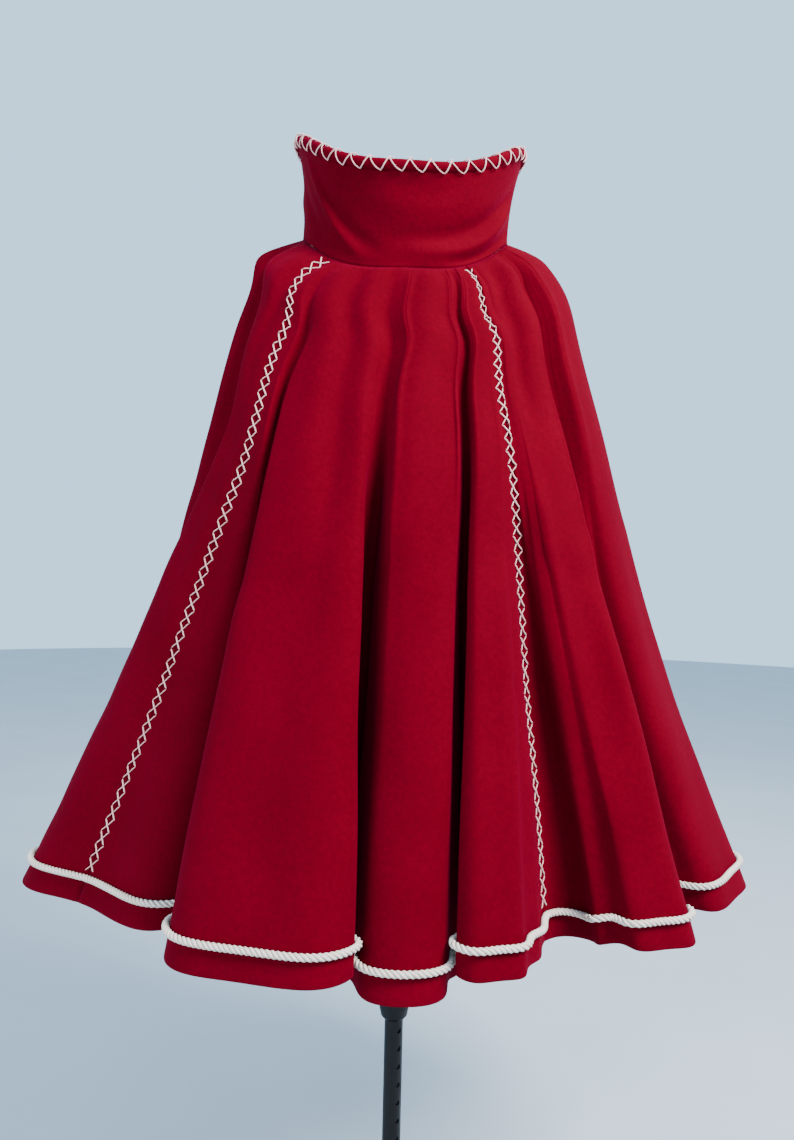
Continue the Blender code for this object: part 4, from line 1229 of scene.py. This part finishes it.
def jersey_material():
    """Fine black knit over the dress form."""
    made, tree, shader, place = blank_material("black_jersey", colour(0.03, 0.03, 0.033), 0.9, sheen=0.2)
    ribs = tree.nodes.new("ShaderNodeTexWave")
    ribs.bands_direction = "Z"
    ribs.inputs["Scale"].default_value = 260.0
    ribs.inputs["Distortion"].default_value = 1.5
    ribs.inputs["Detail"].default_value = 2.0
    tree.links.new(place.outputs["Object"], ribs.inputs["Vector"])
    cloud = noise(tree, place, 500.0, 3.0)
    dark = colour(0.020, 0.020, 0.022)
    ramp(tree, cloud, 0.2, dark, 0.8, colour(0.042, 0.042, 0.045), shader.inputs["Base Color"])
    bump(tree, ribs, 0.5, 0.0003, shader.inputs["Normal"])
    return made


def paint_material():
    """Black paint on steel: half gloss, with faint orange-peel and rubbed patches."""
    base = colour(0.004, 0.004, 0.005)
    made, tree, shader, place = blank_material("black_paint_finish", base, 0.5, specular=0.16)
    rub = noise(tree, place, 38.0, 5.0, 0.6)
    peel = noise(tree, place, 420.0, 2.0)
    ramp(tree, rub, 0.35, grey(0.32), 0.75, grey(0.55), shader.inputs["Roughness"])
    dark = colour(0.003, 0.003, 0.0035)
    ramp(tree, rub, 0.3, dark, 0.8, colour(0.007, 0.007, 0.008), shader.inputs["Base Color"])
    bump(tree, peel, 0.25, 0.0002, shader.inputs["Normal"])
    return made


def floor_material():
    """Pale matte floor."""
    made, tree, shader, place = blank_material("pale_floor", colour(0.40, 0.44, 0.48), 0.85)
    grain = noise(tree, place, 3.0, 3.0)
    dark = colour(0.38, 0.42, 0.46)
    ramp(tree, grain, 0.2, dark, 0.8, colour(0.42, 0.46, 0.50), shader.inputs["Base Color"])
    return made


def make_camera():
    """The camera at the photograph's place, level, and turned a little to one side as it was held."""
    data = bpy.data.cameras.new("camera")
    data.sensor_fit = "VERTICAL"
    data.sensor_height = CAMERA_SENSOR
    data.lens = CAMERA_LENS
    data.clip_start = 0.02
    made = bpy.data.objects.new("camera", data)
    upright = Matrix.Rotation(math.radians(90.0), 4, "X")
    roll = Matrix.Rotation(math.radians(CAMERA_ROLL), 4, "Z")
    made.matrix_world = Matrix.Translation(CAMERA_PLACE) @ upright @ roll
    bpy.context.scene.collection.objects.link(made)
    bpy.context.scene.camera = made


def make_studio():
    """A plain pale floor, a pale surround and soft square lights."""
    edit = bmesh.new()
    bmesh.ops.create_circle(edit, cap_ends=True, radius=FLOOR_RADIUS, segments=96)
    mesh = bpy.data.meshes.new("floor")
    edit.to_mesh(mesh)
    edit.free()
    floor = new_object("floor", mesh, floor_material())
    floor.location = (0.0, 0.0, FLOOR_Z)
    world = bpy.data.worlds.new("surround")
    world.use_nodes = True
    world.node_tree.nodes["Background"].inputs["Color"].default_value = SURROUND_COLOUR
    world.node_tree.nodes["Background"].inputs["Strength"].default_value = SURROUND_STRENGTH
    bpy.context.scene.world = world
    for light in rows(LIGHT_COLUMNS, LIGHTS):
        data = bpy.data.lights.new(light["name"], "AREA")
        data.size = light["size"]
        data.energy = light["power"]
        data.color = light["colour"]
        made = bpy.data.objects.new(light["name"], data)
        made.location = light["place"]
        towards = Vector((0.0, 0.0, light["aim_z"])) - Vector(light["place"])
        made.rotation_euler = towards.to_track_quat("-Z", "Y").to_euler()
        bpy.context.scene.collection.objects.link(made)


def main():
    make_camera()
    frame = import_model()
    wool = wool_material()
    # the second colour of each thread is its painted shade between the fibres
    pink = thread_material("pink_thread", colour(0.80, 0.46, 0.44), colour(0.56, 0.27, 0.26))
    cream = thread_material("cord_cotton", colour(0.74, 0.67, 0.60), colour(0.40, 0.32, 0.26))
    paint = paint_material()
    for name in ("base_plate", "pole", "locking_collar", "upper_tube", "neck_cap"):
        frame["nodes"][name].material_slots[0].material = paint
    cover = form_cover(jersey_material())
    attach(cover, "form")
    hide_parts("dress_form")
    for name, start, end in PANELS:
        piece, area = panel(name.replace("panel", "cloth"), start, end, wool)
        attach(piece, "form")
        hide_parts(name)
    collar, area = collar_piece(wool)
    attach(collar, "form")
    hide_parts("collar")
    rim = rolled_edge(wool)
    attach(rim, "form")
    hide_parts("collar_rim")
    cord = twisted_cord(cream)
    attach(cord, "form")
    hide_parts("hem_cord")
    for name, seam, top, bottom in STITCH_SPANS:
        stitches = seam_stitches(name, seam, top, bottom, pink)
        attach(stitches, "form")
    edge = rim_stitches("rim_stitches", pink)
    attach(edge, "form")
    make_studio()


main()
